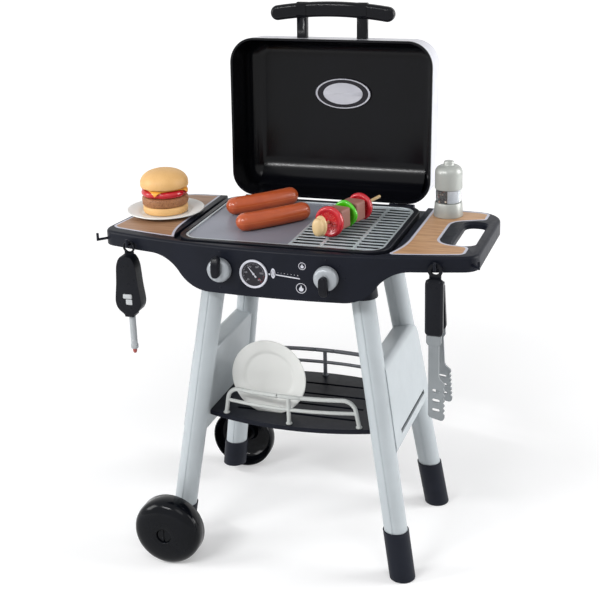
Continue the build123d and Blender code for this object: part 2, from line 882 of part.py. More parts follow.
def plate_outline(inset):
    """Plan of the cooking plate, smaller by an inset."""
    flange = rounded(-firebox_half, firebox_half, -firebox_front, firebox_back, firebox_corner)
    return offset(flange, -plate_band - seat_gap - inset)


def grate_bar(y):
    """One bar of the grate, wider at its foot than at its top."""
    half = bar_width / 2
    top = half - bar_chamfer
    shoulder = bar_top - bar_chamfer
    profile = Polyline((y - half, firebox_ledge), (y + half, firebox_ledge), (y + half, shoulder),
                       (y + top, bar_top), (y - top, bar_top), (y - half, shoulder), close=True)
    return Pos(grate_left - grate_rib_width, 0, 0) * extrude(
        Plane.YZ * make_face(profile), grate_right - grate_left + 2 * grate_rib_width)


def cooking_plate():
    """Silver plate: a raised rim, a flat griddle on the left and an open grate on the right."""
    inner = plate_outline(plate_rim_width)
    sheet = prism(inner, firebox_ledge, griddle_top)
    low_y = -firebox_front + plate_band + plate_rim_width
    high_y = firebox_back - plate_band - plate_rim_width
    sheet -= block(griddle_edge, span, -span, span, firebox_ledge - overrun, deck_top)
    pitch = (high_y - low_y) / bar_count
    grate = [grate_bar(low_y + pitch * (i + 1 / 2)) for i in range(bar_count)]
    for share in grate_rib_shares:
        x = grate_left + share * (grate_right - grate_left)
        grate.append(block(x - grate_rib_width / 2, x + grate_rib_width / 2, low_y, high_y,
                           firebox_ledge, bar_top - grate_rib_drop))
    grate.append(block(griddle_edge - grate_rib_width / 2, grate_left, low_y, high_y, firebox_ledge,
                       griddle_top))
    trim = prism(inner, firebox_ledge, bar_top)
    plate = sheet + [bar & trim for bar in grate]
    rim = prism(plate_outline(0) - inner, firebox_ledge, plate_rim_top)
    return plate + rim


# Lid, drawn shut

def lid_face(inset):
    """Plan of the lid's wall inside an inset, its front corners rounder than its back ones."""
    face = Rectangle(2 * (lid_half - inset), lid_front + lid_back - 2 * inset)
    face = Pos(0, (lid_back - lid_front) / 2) * face
    face = fillet(face.vertices().sort_by(Axis.Y)[:2], lid_front_corner - inset)
    return fillet(face.vertices().sort_by(Axis.Y)[-2:], lid_back_corner - inset)


def lid_block(inset, low, high, rounding):
    """Drafted, round-edged block, which the lid's skins are cut from."""
    form = Pos(0, 0, low) * extrude(lid_face(inset), high - low, taper=lid_draft)
    if rounding > 0:
        form = fillet(form.edges().group_by(Axis.Z)[-1], rounding)
    return form


def lid_cove():
    """Filling behind the deep cove that runs along the back of the hood."""
    top = lid_rim + liner_depth
    wall = lid_back - cover_wall - liner_wall - (liner_depth - cove_radius) * draft_slope
    middle_y = wall - cove_radius
    middle_z = top - cove_radius
    filling = block(-cove_half, cove_half, middle_y, lid_back, middle_z, top + liner_wall / 2)
    return filling - bar_along_x(middle_y, middle_z, cove_radius, -lid_half, lid_half)


def lid_liner():
    """Black inner lid: a rim that hides the shell's edge, the cooking hood, its cove and the hinge lugs."""
    top = lid_rim + liner_depth
    outer = lid_block(cover_wall + press_gap, lid_rim, top + liner_wall, 0)
    outer = chamfer(outer.edges().group_by(Axis.Z)[-1], cover_inner_chamfer)
    liner = outer - lid_block(cover_wall + liner_wall, lid_rim, top, liner_round)
    liner += lid_cove() & outer
    liner += prism(lid_face(0) - lid_face(cover_wall + liner_wall), lid_rim, cover_start - seat_gap)
    for side in sides.values():
        x_low = side * hinge_x - hinge_lug_width / 2
        x_high = side * hinge_x + hinge_lug_width / 2
        eye = bar_along_x(hinge_y, hinge_z, hinge_lug_radius, x_low, x_high)
        arm = block(x_low, x_high, lid_back - liner_wall / 2, hinge_y + hinge_lug_radius, hinge_z,
                    cover_start - seat_gap)
        liner += (eye + arm)
        liner -= bar_along_x(hinge_y, hinge_z, hinge_pin_radius + slip_gap, x_low, x_high)
    return liner


def lid_cover():
    """Pale outer shell of the lid, behind the liner's rim."""
    top = lid_rim + liner_depth + liner_wall + press_gap
    hollow = lid_block(cover_wall, lid_rim, top, 0)
    hollow = chamfer(hollow.edges().group_by(Axis.Z)[-1], cover_inner_chamfer)
    return lid_block(0, cover_start, cover_top, cover_round) - hollow


def lid_handle():
    """Bowed round-edged bar held in the bands of two flat posts, out from the lid's front."""
    post_z = lid_rim + handle_post_rise
    front = -lid_front + (post_z - cover_start) * draft_slope - seat_gap
    ends_y = -handle_reach + handle_bow
    arc = ThreePointArc((-handle_half, ends_y), (0, -handle_reach), (handle_half, ends_y))
    bar = extrude(SlotArc(arc, handle_bar), handle_bar_depth)
    flats = bar.faces().sort_by(Axis.Z)
    bar = fillet(flats[-1].edges() + flats[0].edges(), handle_round)
    handle = Pos(0, 0, post_z - handle_bar_depth / 2) * bar
    middle_y = -handle_reach + bow_depth(handle_post_x, handle_bow, handle_half)
    band_reach = handle_bar / 2 + handle_band
    band_half = handle_bar_depth / 2 + handle_band
    for side in sides.values():
        x_low = side * handle_post_x - handle_post_width / 2
        x_high = side * handle_post_x + handle_post_width / 2
        handle += block(x_low, x_high, middle_y, front, post_z - handle_post_thick / 2,
                        post_z + handle_post_thick / 2)
        band = block(x_low, x_high, middle_y - band_reach, middle_y + band_reach, post_z - band_half,
                     post_z + band_half)
        handle += chamfer(band.edges().filter_by(Axis.X), handle_round)
    return handle


def lid_badge():
    """Bare oval badge on the liner's inner face."""
    top = lid_rim + liner_depth
    oval = extrude(Ellipse(badge_half_width, badge_half_height), badge_thick)
    return Pos(0, badge_y, top - badge_thick) * oval


def opened(piece):
    """Swings a lid piece from shut to its open resting pose."""
    return piece.rotate(hinge_axis, -lid_open_angle)


def hinge_pin(side):
    """Pin through one hinge."""
    middle = side * hinge_x
    return bar_along_x(hinge_y, hinge_z, hinge_pin_radius, middle - hinge_width / 2, middle + hinge_width / 2)


# Knobs and gauge

def knob_back():
    """Y of a knob's back face, just in front of the bowed fascia."""
    return front_face(knob_x - knob_radius) - knob_air


def knob_dial(side):
    """Silver domed dial with a shaft that snaps through the fascia."""
    fascia_inner = front_face(knob_x + knob_clip_radius) + deck_wall + seat_gap
    shaft = fascia_inner + knob_clip_thick - knob_back()
    dome = turned([(0, 0), (knob_radius, 0), (knob_radius, knob_skirt), (knob_face_radius, knob_depth),
                   (0, knob_depth)])
    dome += Pos(0, 0, -shaft) * Cylinder(knob_shaft_radius, shaft, align=centred_up)
    dome += Pos(0, 0, -shaft) * Cylinder(knob_clip_radius, knob_clip_thick, align=centred_up)
    return Pos(side * knob_x, knob_back(), knob_z) * Rot(90, 0, 0) * dome


def knob_lever(side):
    """Black finger bar across a dial, long end up on the left and down on the right."""
    length = lever_long + lever_short
    middle = (lever_long - lever_short) / 2
    bar = extrude(Pos(0, middle) * SlotOverall(length, lever_width, rotation=90), lever_depth)
    bar = chamfer(bar.faces().sort_by(Axis.Z)[-1].edges(), lever_chamfer)
    flip = 0 if side < 0 else 180
    return Pos(side * knob_x, knob_back() - knob_depth, knob_z) * Rot(90, 0, 0) * Rot(0, 0, flip) * bar


def gauge_dial():
    """Round thermometer with a raised bezel, sunk in the fascia."""
    face_radius = gauge_radius - gauge_bezel
    face_height = gauge_thick - gauge_sink
    disc = turned([(0, 0), (gauge_radius, 0), (gauge_radius, gauge_thick), (face_radius, gauge_thick),
                   (face_radius, face_height), (0, face_height)])
    return Pos(gauge_x, front_face(gauge_x) + gauge_sink, gauge_z) * Rot(90, 0, 0) * disc


# Hooks

def hook_places():
    """Start and outward direction of each hook: two on the front, one on each front corner."""
    radius = bow_radius(deck_front_bow, deck_right)
    diagonal = front_corner * cos(pi / 4)
    places = []
    for side in sides.values():
        places.append(((side * hook_x, front_face(hook_x)), (0, -1)))
        corner_x = (deck_right if side > 0 else deck_left_front) - front_corner
        corner_y = radius - deck_front - sqrt((radius - front_corner) ** 2 - corner_x ** 2)
        slant = (side * cos(pi / 4), -sin(pi / 4))
        places.append(((side * (corner_x + diagonal), corner_y - diagonal), slant))
    return places


def hook_rods(radius):
    """The L-shaped hooks as round rods of a given radius, through the deck's skirt."""
    rods = []
    for (x, y), (dx, dy) in hook_places():
        root = (x - dx * deck_wall, y - dy * deck_wall, hook_z)
        bend = (x + dx * hook_reach, y + dy * hook_reach, hook_z)
        rods.append(rod([root, bend, (bend[0], bend[1], hook_z + hook_rise)], radius))
    return rods


# Lighter

def tool_ring(x, outer):
    """Flat eye that hangs on a hook's stem."""
    centre_z = hook_z + hook_radius + tool_hang_gap - tool_ring_hole
    y_low = -tool_ring_plane - tool_ring_thick / 2
    ring = bar_along_y(x, centre_z, outer, y_low, y_low + tool_ring_thick)
    return ring, bar_along_y(x, centre_z, tool_ring_hole, y_low - overrun, y_low + overrun)


def ring_neck(x, width, top):
    """Flat neck between a ring and the tool below it."""
    centre_z = hook_z + hook_radius + tool_hang_gap - tool_ring_hole
    y_low = -tool_ring_plane - tool_ring_thick / 2
    return block(x - width / 2, x + width / 2, y_low, y_low + tool_ring_thick, top, centre_z)


def lighter_body():
    """Black handle with rounded shoulders, a widened hip and a slot for its button."""
    right = [(lighter_width / 2 * w, -lighter_length * d) for d, w in lighter_shape_shares]
    left = [(-x, z) for x, z in reversed(right)]
    face = make_face(Polyline(*right, *left, close=True))
    body = extrude(Plane.XZ * face, lighter_thick)
    body = chamfer(body.faces().sort_by(Axis.Y)[0].edges() + body.faces().sort_by(Axis.Y)[-1].edges(),
                   lighter_chamfer)
    body = Pos(-hook_x, -lighter_front + lighter_thick, tool_top) * body
    ring, hole = tool_ring(-hook_x, lighter_ring_radius)
    body += ring + ring_neck(-hook_x, lighter_neck_width, tool_top - lighter_chamfer - overrun / 2)
    body -= hole
    body -= block(-hook_x - button_width / 2 - slip_gap, -hook_x + button_width / 2 + slip_gap, -span,
                  -lighter_front + button_sink + slip_gap, button_bottom - button_stroke - seat_gap,
                  button_top + seat_gap)
    flame_room = Cylinder(tube_bore, flame_length + overrun, align=centred_up)
    return body - Pos(-hook_x, lighter_axis_y(), lighter_bottom - overrun) * flame_room


def lighter_axis_y():
    """Y of the lighter's tube."""
    return -lighter_front + lighter_thick / 2


def lighter_button():
    """Sliding trigger in the front of the lighter."""
    return block(-hook_x - button_width / 2, -hook_x + button_width / 2, -lighter_front - button_proud,
                 -lighter_front + button_sink, button_bottom, button_top)


def lighter_tube():
    """Barrel below the lighter's handle."""
    tube = Cylinder(tube_radius, tube_length, align=centred_up)
    tube -= Cylinder(tube_bore, tube_length, align=centred_up)
    return Pos(-hook_x, lighter_axis_y(), tube_bottom) * tube


def lighter_flame():
    """Red tip that slides out of the barrel."""
    tip = Cylinder(flame_radius, flame_length, align=centred_up)
    return Pos(-hook_x, lighter_axis_y(), flame_bottom) * tip


# Tongs

def tongs_shift():
    """Place of the tongs' parting plane at the hook."""
    return Pos(hook_x, -tongs_mid_plane, 0)


def grip_block():
    """Round-cornered half grip in front of the parting plane."""
    face = RectangleRounded(tongs_grip_width, tongs_grip_length, tongs_grip_round)
    grip = extrude(Plane.XZ * face, tongs_grip_thick)
    grip = chamfer(grip.faces().sort_by(Axis.Y)[0].edges(), tongs_grip_thick * tongs_bevel_share)
    return Pos(0, -tongs_split / 2, grip_bottom + tongs_grip_length / 2) * grip


def tongs_front_grip():
    """Front half of the grip, with the hanging eye and the two ears of the pivot."""
    grip = grip_block()
    ear_low = tongs_grip_width / 2 - pivot_eye_radius
    for side in sides.values():
        x_low, x_high = sorted((side * ear_low, side * tongs_grip_width / 2))
        grip += bar_along_x(0, pivot_z, pivot_eye_radius, x_low, x_high)
    room = pivot_eye_radius + pivot_gap
    grip = tongs_shift() * grip
    ring, hole = tool_ring(hook_x, tongs_ring_radius)
    neck_top = tool_top - overrun
    grip += ring + ring_neck(hook_x, 2 * ear_low, neck_top) - hole
    clear = tongs_shift() * block(-ear_low, ear_low, -room, span, pivot_z - room, pivot_z + room)
    grip -= clear
    pin = bar_along_x(0, pivot_z, pivot_radius + press_gap, -tongs_grip_width, tongs_grip_width)
    return grip - tongs_shift() * pin


def tongs_rear_grip():
    """Rear half of the grip, with the knuckle that turns between the ears."""
    grip = mirror(grip_block(), Plane.XZ)
    room = pivot_eye_radius + pivot_gap
    grip -= block(-span, span, -span, span, pivot_z - room, span)
    knuckle_half = tongs_grip_width / 2 - pivot_eye_radius - pivot_gap
    knuckle = bar_along_x(0, pivot_z, pivot_eye_radius, -knuckle_half, knuckle_half)
    knuckle += block(-knuckle_half, knuckle_half, tongs_split / 2, pivot_eye_radius, pivot_z - room, pivot_z)
    grip += knuckle
    return grip - bar_along_x(0, pivot_z, pivot_radius + slip_gap, -tongs_grip_width, tongs_grip_width)


def tong_arm(flip):
    """Arm, collar and slotted, toothed blade of one tong, in front of the parting plane."""
    arm = Rectangle(collar_width, grip_bottom - collar_bottom)
    arm = Pos(0, (grip_bottom + collar_bottom) / 2) * arm
    shank = Rectangle(tong_arm_width, tong_arm_length + tooth_depth)
    arm += Pos(0, (collar_bottom + blade_top) / 2) * shank
    blade_mid = (blade_top + blade_bottom) / 2
    blade = RectangleRounded(blade_width, blade_length, tongs_grip_round)
    tooth = blade_length / (blade_teeth + 1)
    for i in range(blade_teeth):
        z = tooth * (i - (blade_teeth - 1) / 2)
        notch = Pos(blade_width / 2, z) * Rot(0, 0, 45) * Rectangle(tooth_depth, tooth_depth)
        blade -= notch
    for i in range(blade_slots):
        z = blade_length / (blade_slots + 1) * (i - (blade_slots - 1) / 2)
        blade -= Pos(0, z) * SlotOverall(blade_slot_length, blade_slot_width)
    arm += Pos(blade_offset, blade_mid) * blade
    plate = extrude(Plane.XZ * arm, tong_arm_thick)
    plate = Pos(0, -tongs_split / 2 - (tongs_grip_thick - tong_arm_thick) / 2, 0) * plate
    return mirror(plate, Plane.XZ) if flip else plate


def swung(piece):
    """Swings a rear tong piece from shut to its sprung-open resting pose."""
    pivot = Axis((0, 0, pivot_z), (1, 0, 0))
    return tongs_shift() * piece.rotate(pivot, tongs_open_angle)


# Pepper mill

def mill_base():
    """Solid foot of the mill."""
    cup = turned([(0, 0), (mill_foot_radius, 0), (mill_radius, mill_base_height), (0, mill_base_height)])
    return Pos(mill_x, mill_y, deck_top + mill_seat) * cup


def mill_window():
    """Clear ring above the mill's foot."""
    bore = mill_window_radius - mill_wall
    ring = turned([(bore, 0), (mill_window_radius, 0), (mill_window_radius, mill_window_height),
                   (bore, mill_window_height)])
    return Pos(mill_x, mill_y, deck_top + mill_seat + mill_base_height) * ring


def mill_cap():
    """Turning head with sloped shoulders and a round button."""
    base = mill_base_height + mill_window_height + mill_seat
    shoulder = base + mill_cap_straight
    profile = [(0, base), (mill_radius, base), (mill_radius, shoulder),
               (mill_shoulder_radius, shoulder + mill_shoulder), (mill_knob_radius, shoulder + mill_shoulder),
               (mill_knob_radius, mill_total - mill_knob_height / 4), (mill_knob_radius / 2, mill_total),
               (0, mill_total)]
    return Pos(mill_x, mill_y, deck_top + mill_seat) * turned(profile)


# Plates and burger

def dish():
    """Round plate with a flat well, a short wall and a wide sloping rim, standing on its foot."""
    top = dish_height
    well = top - dish_well_depth - dish_thick
    profile = [
        (0, 0), (dish_foot_radius, 0), (dish_wall_radius, well), (dish_radius, top - dish_thick),
        (dish_radius, top), (dish_wall_radius, well + dish_thick + slip_gap), (dish_well_radius, dish_thick),
        (0, dish_thick),
    ]
    return turned(profile)


def burger_plate():
    """Plate on the left-hand shelf."""
    return Pos(burger_plate_x, burger_plate_y, deck_top + dish_air) * dish()


def rack_plate():
    """Plate that stands on edge in the tray's front groove."""
    lean = radians(rack_plate_lean)
    rim_middle = dish_height - dish_thick / 2
    y = tray_groove_shares[0] * tray_front + dish_radius * sin(lean) + rim_middle * cos(lean)
    z = tray_top - tray_groove_depth + seat_gap + dish_radius * cos(lean)
    return Pos(rack_plate_x, y, z) * Rot(90 - rack_plate_lean, 0, 0) * dish()


def burger_pieces():
    """The burger's five loose pieces, stacked on the plate's well."""
    z = deck_top + dish_air + dish_thick + stack_gap
    base = turned([(0, 0), (bun_radius - bun_chamfer, 0), (bun_radius, bun_chamfer),
                   (bun_radius, bun_base_height), (0, bun_base_height)])
    patty = turned([(0, 0), (patty_radius - patty_inset, 0), (patty_radius, patty_height / 2),
                    (patty_radius - patty_inset, patty_height), (0, patty_height)])
    tomato_flat = tomato_radius - tomato_chamfer
    tomato = turned([(0, 0), (tomato_flat, 0), (tomato_radius, tomato_chamfer),
                     (tomato_radius, tomato_height - tomato_chamfer), (tomato_flat, tomato_height),
                     (0, tomato_height)])
    cheese = extrude(Rectangle(cheese_side, cheese_side, rotation=45), cheese_thick)
    crown = [(bun_top_radius * r, bun_top_height * h) for r, h in bun_top_shares]
    bun_top = turned([(0, 0), (bun_top_radius - bun_chamfer, 0), *crown, (0, bun_top_height)])
    heights = (bun_base_height, patty_height, tomato_height, cheese_thick, bun_top_height)
    names = ("bun_base", "patty", "tomato_slice", "cheese_slice", "bun_top")
    pieces = {}
    for name, piece, height in zip(names, (base, patty, tomato, cheese, bun_top), heights):
        pieces[name] = Pos(burger_plate_x, burger_plate_y, z) * piece
        z += height + stack_gap
    return pieces


# Sausages and skewer

def sausage(x, y):
    """Slightly bent sausage with rounded ends, lying on the griddle."""
    tip = sausage_ring_shares
    body_half = sausage_half - sausage_radius * tip[1][1]
    rings = [(-body_half, 1.0), (0, 1.0), (body_half, 1.0)]
    ends_out = [(body_half + sausage_radius * tip[1][1] * (1 - low), wide) for wide, low in reversed(tip)]
    rings = [(-s, w) for s, w in reversed(ends_out)] + rings + ends_out
    sections = []
    for along, wide in rings:
        bend = sausage_bend * (along / sausage_half) ** 2
        spot = Vector(along, bend, 0)
        facing = Vector(1, 2 * sausage_bend * along / sausage_half ** 2, 0)
        sections.append(Plane(origin=spot, z_dir=facing) * Circle(sausage_radius * wide))
    body = loft(sections, ruled=True)
    return Pos(x, y, griddle_top + seat_gap + sausage_radius) * Rot(0, 0, sausage_turn) * body


def skewer_place(along):
    """Places a piece drawn along Z at a distance along the skewer."""
    z = bar_top + seat_gap + max(slice_radii)
    return Pos(skewer_x, skewer_y, z) * Rot(0, 0, skewer_heading) * Rot(0, 90, 0) * Pos(0, 0, along)


def threaded(piece):
    """Bores a skewered piece for the stick."""
    return piece - Cylinder(stick_radius + skewer_bore_gap, span / 4)


def skewer_slice(radius, thick):
    """Round slice with bevelled edges."""
    half = thick / 2
    bevel = min(slice_chamfer, half - slip_gap)
    return turned([(0, -half), (radius - bevel, -half), (radius, bevel - half), (radius, half - bevel),
                   (radius - bevel, half), (0, half)])


def skewer_stick():
    """Wooden stick with a grip of two flat lobes."""
    stick = Cylinder(stick_radius, skewer_length, align=centred_up)
    for middle, tall, wide in stick_lobes:
        lobe = extrude(Ellipse(tall, wide), stick_lobe_thick / 2, both=True)
        stick += Pos(0, 0, middle) * fillet(lobe.edges(), stick_lobe_round)
    return skewer_place(0) * stick


def skewer_tomatoes():
    """Two tomato slices on the skewer."""
    return [skewer_place(s) * threaded(skewer_slice(radius, slice_thick))
            for s, radius in zip(slice_places, slice_radii)]


def skewer_pepper():
    """Green pepper slice on the skewer."""
    return skewer_place(pepper_place) * threaded(skewer_slice(pepper_radius, pepper_thick))


def skewer_meat():
    """Two square blocks of meat on the skewer."""
    cube = extrude(RectangleRounded(meat_side, meat_side, meat_round), meat_length / 2, both=True)
    return [skewer_place(s) * threaded(cube) for s in meat_places]


def write(name, *pieces):
    """Writes one node, moved so that the origin is under the middle of the whole grill."""
    solids = []
    for piece in pieces:
        solids.extend(piece.solids())
    moved = [Pos(0, -origin_back, 0) * solid for solid in solids]
    shape = moved[0] if len(moved) == 1 else Compound(children=moved)
    export_step(shape, "parts/" + name + ".step")


def write_cart():
    """Everything that stands still."""
    write("deck_shell", deck_shell())
    write("firebox", firebox())
    write("cooking_plate", cooking_plate())
    write("left_inlay", wood_inlay(left_inlay_region()))
    write("right_inlay", wood_inlay(right_inlay_region()))
    write("inlay_borders", inlay_border(left_inlay_region()), inlay_border(right_inlay_region()))
    write("gauge_dial", gauge_dial())
    for side_name, side in sides.items():
        for end_name, end in ends.items():
            foot = standing_foot(side, end) if side > 0 else axle_foot(side, end)
            write(side_name + "_" + end_name + "_leg", leg(side, end))
            write(side_name + "_" + end_name + "_foot", foot)
        write(side_name + "_side_panel", side_panel(side))
    write("wheel_bolts", *[wheel_bolt(end) for end in ends.values()])
    write("lower_tray", lower_tray())
    for end_name, end in ends.items():
        write(end_name + "_rail", rail(end))
    write("hinge_pins", *[hinge_pin(side) for side in sides.values()])
    write("tool_hooks", *hook_rods(hook_radius))


def write_moving():
    """Everything that swings, turns or slides."""
    write("lid_cover", opened(lid_cover()))
    write("lid_liner", opened(lid_liner()))
    write("lid_handle", opened(lid_handle()))
    write("lid_badge", opened(lid_badge()))
    for side_name, side in sides.items():
        write(side_name + "_knob_dial", knob_dial(side))
        write(side_name + "_knob_lever", knob_lever(side))
    for end_name, end in ends.items():
        write(end_name + "_wheel", wheel(end))
    write("lighter_body", lighter_body())
    write("lighter_button", lighter_button())
    write("lighter_tube", lighter_tube())
    write("lighter_flame", lighter_flame())
    write("tongs_front_grip", tongs_front_grip())
    write("tongs_front_arm", tongs_shift() * tong_arm(False))
    write("tongs_rear_grip", swung(tongs_rear_grip()))
    write("tongs_rear_arm", swung(tong_arm(True)))
    pin_half = tongs_grip_width / 2
    write("tongs_pivot_pin", tongs_shift() * bar_along_x(0, pivot_z, pivot_radius, -pin_half, pin_half))


def write_loose():
    """Food, plates and the mill, which lift off."""
    write("mill_base", mill_base())
    write("mill_window", mill_window())
    write("mill_cap", mill_cap())
    write("rear_sausage", sausage(rear_sausage_x, rear_sausage_y))
    write("front_sausage", sausage(front_sausage_x, front_sausage_y))
    write("skewer_stick", skewer_stick())
    write("skewer_tomatoes", *skewer_tomatoes())
    write("skewer_pepper", skewer_pepper())
    write("skewer_meat", *skewer_meat())
    write("burger_plate", burger_plate())
    for name, piece in burger_pieces().items():
        write(name, piece)
    write("rack_plate", rack_plate())


os.makedirs("parts", exist_ok=True)
write_cart()
write_moving()
write_loose()
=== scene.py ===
"""Looks of a toy barbecue grill with its food and tools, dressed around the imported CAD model.

Sizes inside the classes are millimetres in the cart's own frame: x to the right, y to the back, z up from the
floor. Each piece is moved to the record's frame and scaled to metres when it is finished.
"""

from __future__ import annotations

import json
import logging
import math
from dataclasses import dataclass
from enum import Enum
from typing import Callable, Sequence

import bmesh
import bpy
from mathutils import Matrix, Vector, noise


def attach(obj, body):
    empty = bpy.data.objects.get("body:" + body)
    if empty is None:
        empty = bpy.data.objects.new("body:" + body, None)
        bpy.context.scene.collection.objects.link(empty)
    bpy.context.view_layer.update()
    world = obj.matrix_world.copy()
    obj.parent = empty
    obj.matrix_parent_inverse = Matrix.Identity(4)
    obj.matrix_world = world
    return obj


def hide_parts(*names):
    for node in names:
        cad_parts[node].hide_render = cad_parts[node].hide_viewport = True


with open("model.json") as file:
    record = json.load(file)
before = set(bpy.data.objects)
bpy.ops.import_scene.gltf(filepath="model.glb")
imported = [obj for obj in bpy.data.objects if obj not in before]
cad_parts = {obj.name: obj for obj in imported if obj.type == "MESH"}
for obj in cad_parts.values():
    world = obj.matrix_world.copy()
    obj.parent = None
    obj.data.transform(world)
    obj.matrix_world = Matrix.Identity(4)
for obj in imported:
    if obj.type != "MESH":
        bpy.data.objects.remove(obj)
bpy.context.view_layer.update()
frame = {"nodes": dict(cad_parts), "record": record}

LOG = logging.getLogger("grill")
MM = 0.001
CART_BACK = 20.5
TO_RECORD = Matrix.Scale(MM, 4) @ Matrix.Translation((0, -CART_BACK, 0))
Point = tuple[float, float]
Stop = tuple[float, str]
Socket = bpy.types.NodeSocket


def linear(colour: str) -> tuple[float, float, float, float]:
    """Turns a colour written as #rrggbb into the linear colour that a shader takes.

    Args:
        colour: The colour as seen on a screen.

    Returns:
        Red, green, blue and an alpha of one.
    """
    parts = [int(colour[i:i + 2], 16) / 255 for i in (1, 3, 5)]
    flat = [c / 12.92 if c <= 0.04045 else ((c + 0.055) / 1.055) ** 2.4 for c in parts]
    return (flat[0], flat[1], flat[2], 1.0)


def shift(x: float, y: float, z: float) -> Matrix:
    """A move along the three axes."""
    return Matrix.Translation((x, y, z))


def turned(degrees: float, axis: str) -> Matrix:
    """A turn about an axis through the origin."""
    return Matrix.Rotation(math.radians(degrees), 4, axis)


def background_rays(tree: bpy.types.NodeTree) -> Socket:
    """Tells the rays that show the background from those that light the grill.

    Args:
        tree: Nodes of the floor's material or of the world.

    Returns:
        One for a ray from the camera, off gloss or through a clear piece, and nought for any other.
    """
    path = tree.nodes.new("ShaderNodeLightPath")
    seen = path.outputs["Is Camera Ray"]
    for way in ("Is Glossy Ray", "Is Transmission Ray"):
        either = tree.nodes.new("ShaderNodeMath")
        either.operation = "MAXIMUM"
        tree.links.new(seen, either.inputs[0])
        tree.links.new(path.outputs[way], either.inputs[1])
        seen = either.outputs["Value"]
    return seen


class Recipe:
    """A material being mixed: short calls for the nodes that the finishes share."""

    def __init__(self, name: str) -> None:
        """Starts a material with a Principled shader and object coordinates.

        Args:
            name: The material's name.
        """
        self.material = bpy.data.materials.new(name)
        self.material.use_nodes = True
        self.tree = self.material.node_tree
        self.shader = next(n for n in self.tree.nodes if n.type == "BSDF_PRINCIPLED")
        self.place = self.tree.nodes.new("ShaderNodeTexCoord").outputs["Object"]

    def node(self, kind: str, **values: object) -> bpy.types.Node:
        """Adds a node and sets its properties.

        Args:
            kind: The node's type name.
            values: Properties to set on it.

        Returns:
            The new node.
        """
        made = self.tree.nodes.new(kind)
        for key, value in values.items():
            setattr(made, key, value)
        return made

    def link(self, source: Socket, target: Socket) -> None:
        """Joins two sockets."""
        self.tree.links.new(source, target)

    def stretched(self, scale: Sequence[float], turn: float = 0.0) -> Socket:
        """Object coordinates scaled along each axis, for a pattern that runs one way.

        Args:
            scale: Factor along x, y and z.
            turn: Turn about z, in degrees.

        Returns:
            The mapped coordinates.
        """
        mapping = self.node("ShaderNodeMapping")
        mapping.inputs["Scale"].default_value = scale
        mapping.inputs["Rotation"].default_value = (0, 0, math.radians(turn))
        self.link(self.place, mapping.inputs["Vector"])
        return mapping.outputs["Vector"]

    def noise(self, size_mm: float, detail: float = 2.0, rough: float = 0.5, warp: float = 0.0,
              at: Socket | None = None) -> Socket:
        """Adds a noise pattern.

        Args:
            size_mm: Width of one blotch.
            detail: Octaves.
            rough: Share of the fine octaves.
            warp: Distortion.
            at: Coordinates, or the object's own.

        Returns:
            The noise from nought to one.
        """
        made = self.node("ShaderNodeTexNoise")
        made.inputs["Scale"].default_value = 1 / (size_mm * MM)
        made.inputs["Detail"].default_value = detail
        made.inputs["Roughness"].default_value = rough
        made.inputs["Distortion"].default_value = warp
        self.link(at or self.place, made.inputs["Vector"])
        return made.outputs["Fac"]

    def ramp(self, source: Socket, stops: Sequence[Stop]) -> Socket:
        """Colours a value by stops.

        Args:
            source: Value from nought to one.
            stops: Positions with their colours.

        Returns:
            The colour.
        """
        made = self.node("ShaderNodeValToRGB")
        band = made.color_ramp
        while len(band.elements) < len(stops):
            band.elements.new(0.5)
        for element, (spot, colour) in zip(band.elements, stops):
            element.position = spot
            element.color = linear(colour)
        self.link(source, made.inputs["Fac"])
        return made.outputs["Color"]

    def span(self, source: Socket, low: float, high: float, start: float = 0.0,
             end: float = 1.0) -> Socket:
        """Maps a value from one range to another.

        Args:
            source: The value.
            low: Result at the start.
            high: Result at the end.
            start: Where the source range starts.
            end: Where it ends.

        Returns:
            The mapped value.
        """
        made = self.node("ShaderNodeMapRange")
        for key, value in (("From Min", start), ("From Max", end), ("To Min", low), ("To Max", high)):
            made.inputs[key].default_value = value
        self.link(source, made.inputs["Value"])
        return made.outputs["Result"]

    def blend(self, share: Socket, first: Socket,
              second: Socket | str) -> Socket:
        """Mixes two colours by a share.

        Args:
            share: Share of the second colour.
            first: The first colour.
            second: The second colour, as a socket or as #rrggbb.

        Returns:
            The mixed colour.
        """
        made = self.node("ShaderNodeMix", data_type="RGBA")
        self.link(share, made.inputs["Factor"])
        self.link(first, made.inputs[6])
        if isinstance(second, str):
            made.inputs[7].default_value = linear(second)
        else:
            self.link(second, made.inputs[7])
        return made.outputs[2]

    def reckon(self, operation: str, first: Socket, second: Socket | float = 0.0) -> Socket:
        """Works one number out of two.

        Args:
            operation: The sum's name.
            first: The first number.
            second: The second number, where the sum has one.

        Returns:
            The result.
        """
        made = self.node("ShaderNodeMath", operation=operation)
        self.link(first, made.inputs[0])
        if isinstance(second, float):
            made.inputs[1].default_value = second
        else:
            self.link(second, made.inputs[1])
        return made.outputs["Value"]

    def set(self, **values: float) -> None:
        """Sets plain values on the shader's own sockets, with spaces written as underscores."""
        for key, value in values.items():
            self.shader.inputs[key.replace("_", " ")].default_value = value

    def relief(self, height: Socket, depth_mm: float) -> None:
        """Raises the surface by a height pattern.

        Args:
            height: Pattern from nought to one.
            depth_mm: Its depth. A second call stacks on the first.
        """
        made = self.node("ShaderNodeBump")
        made.inputs["Strength"].default_value = 1.0
        made.inputs["Distance"].default_value = depth_mm * MM
        self.link(height, made.inputs["Height"])
        before = self.shader.inputs["Normal"].links
        if before:
            self.link(before[0].from_socket, made.inputs["Normal"])
        self.link(made.outputs["Normal"], self.shader.inputs["Normal"])


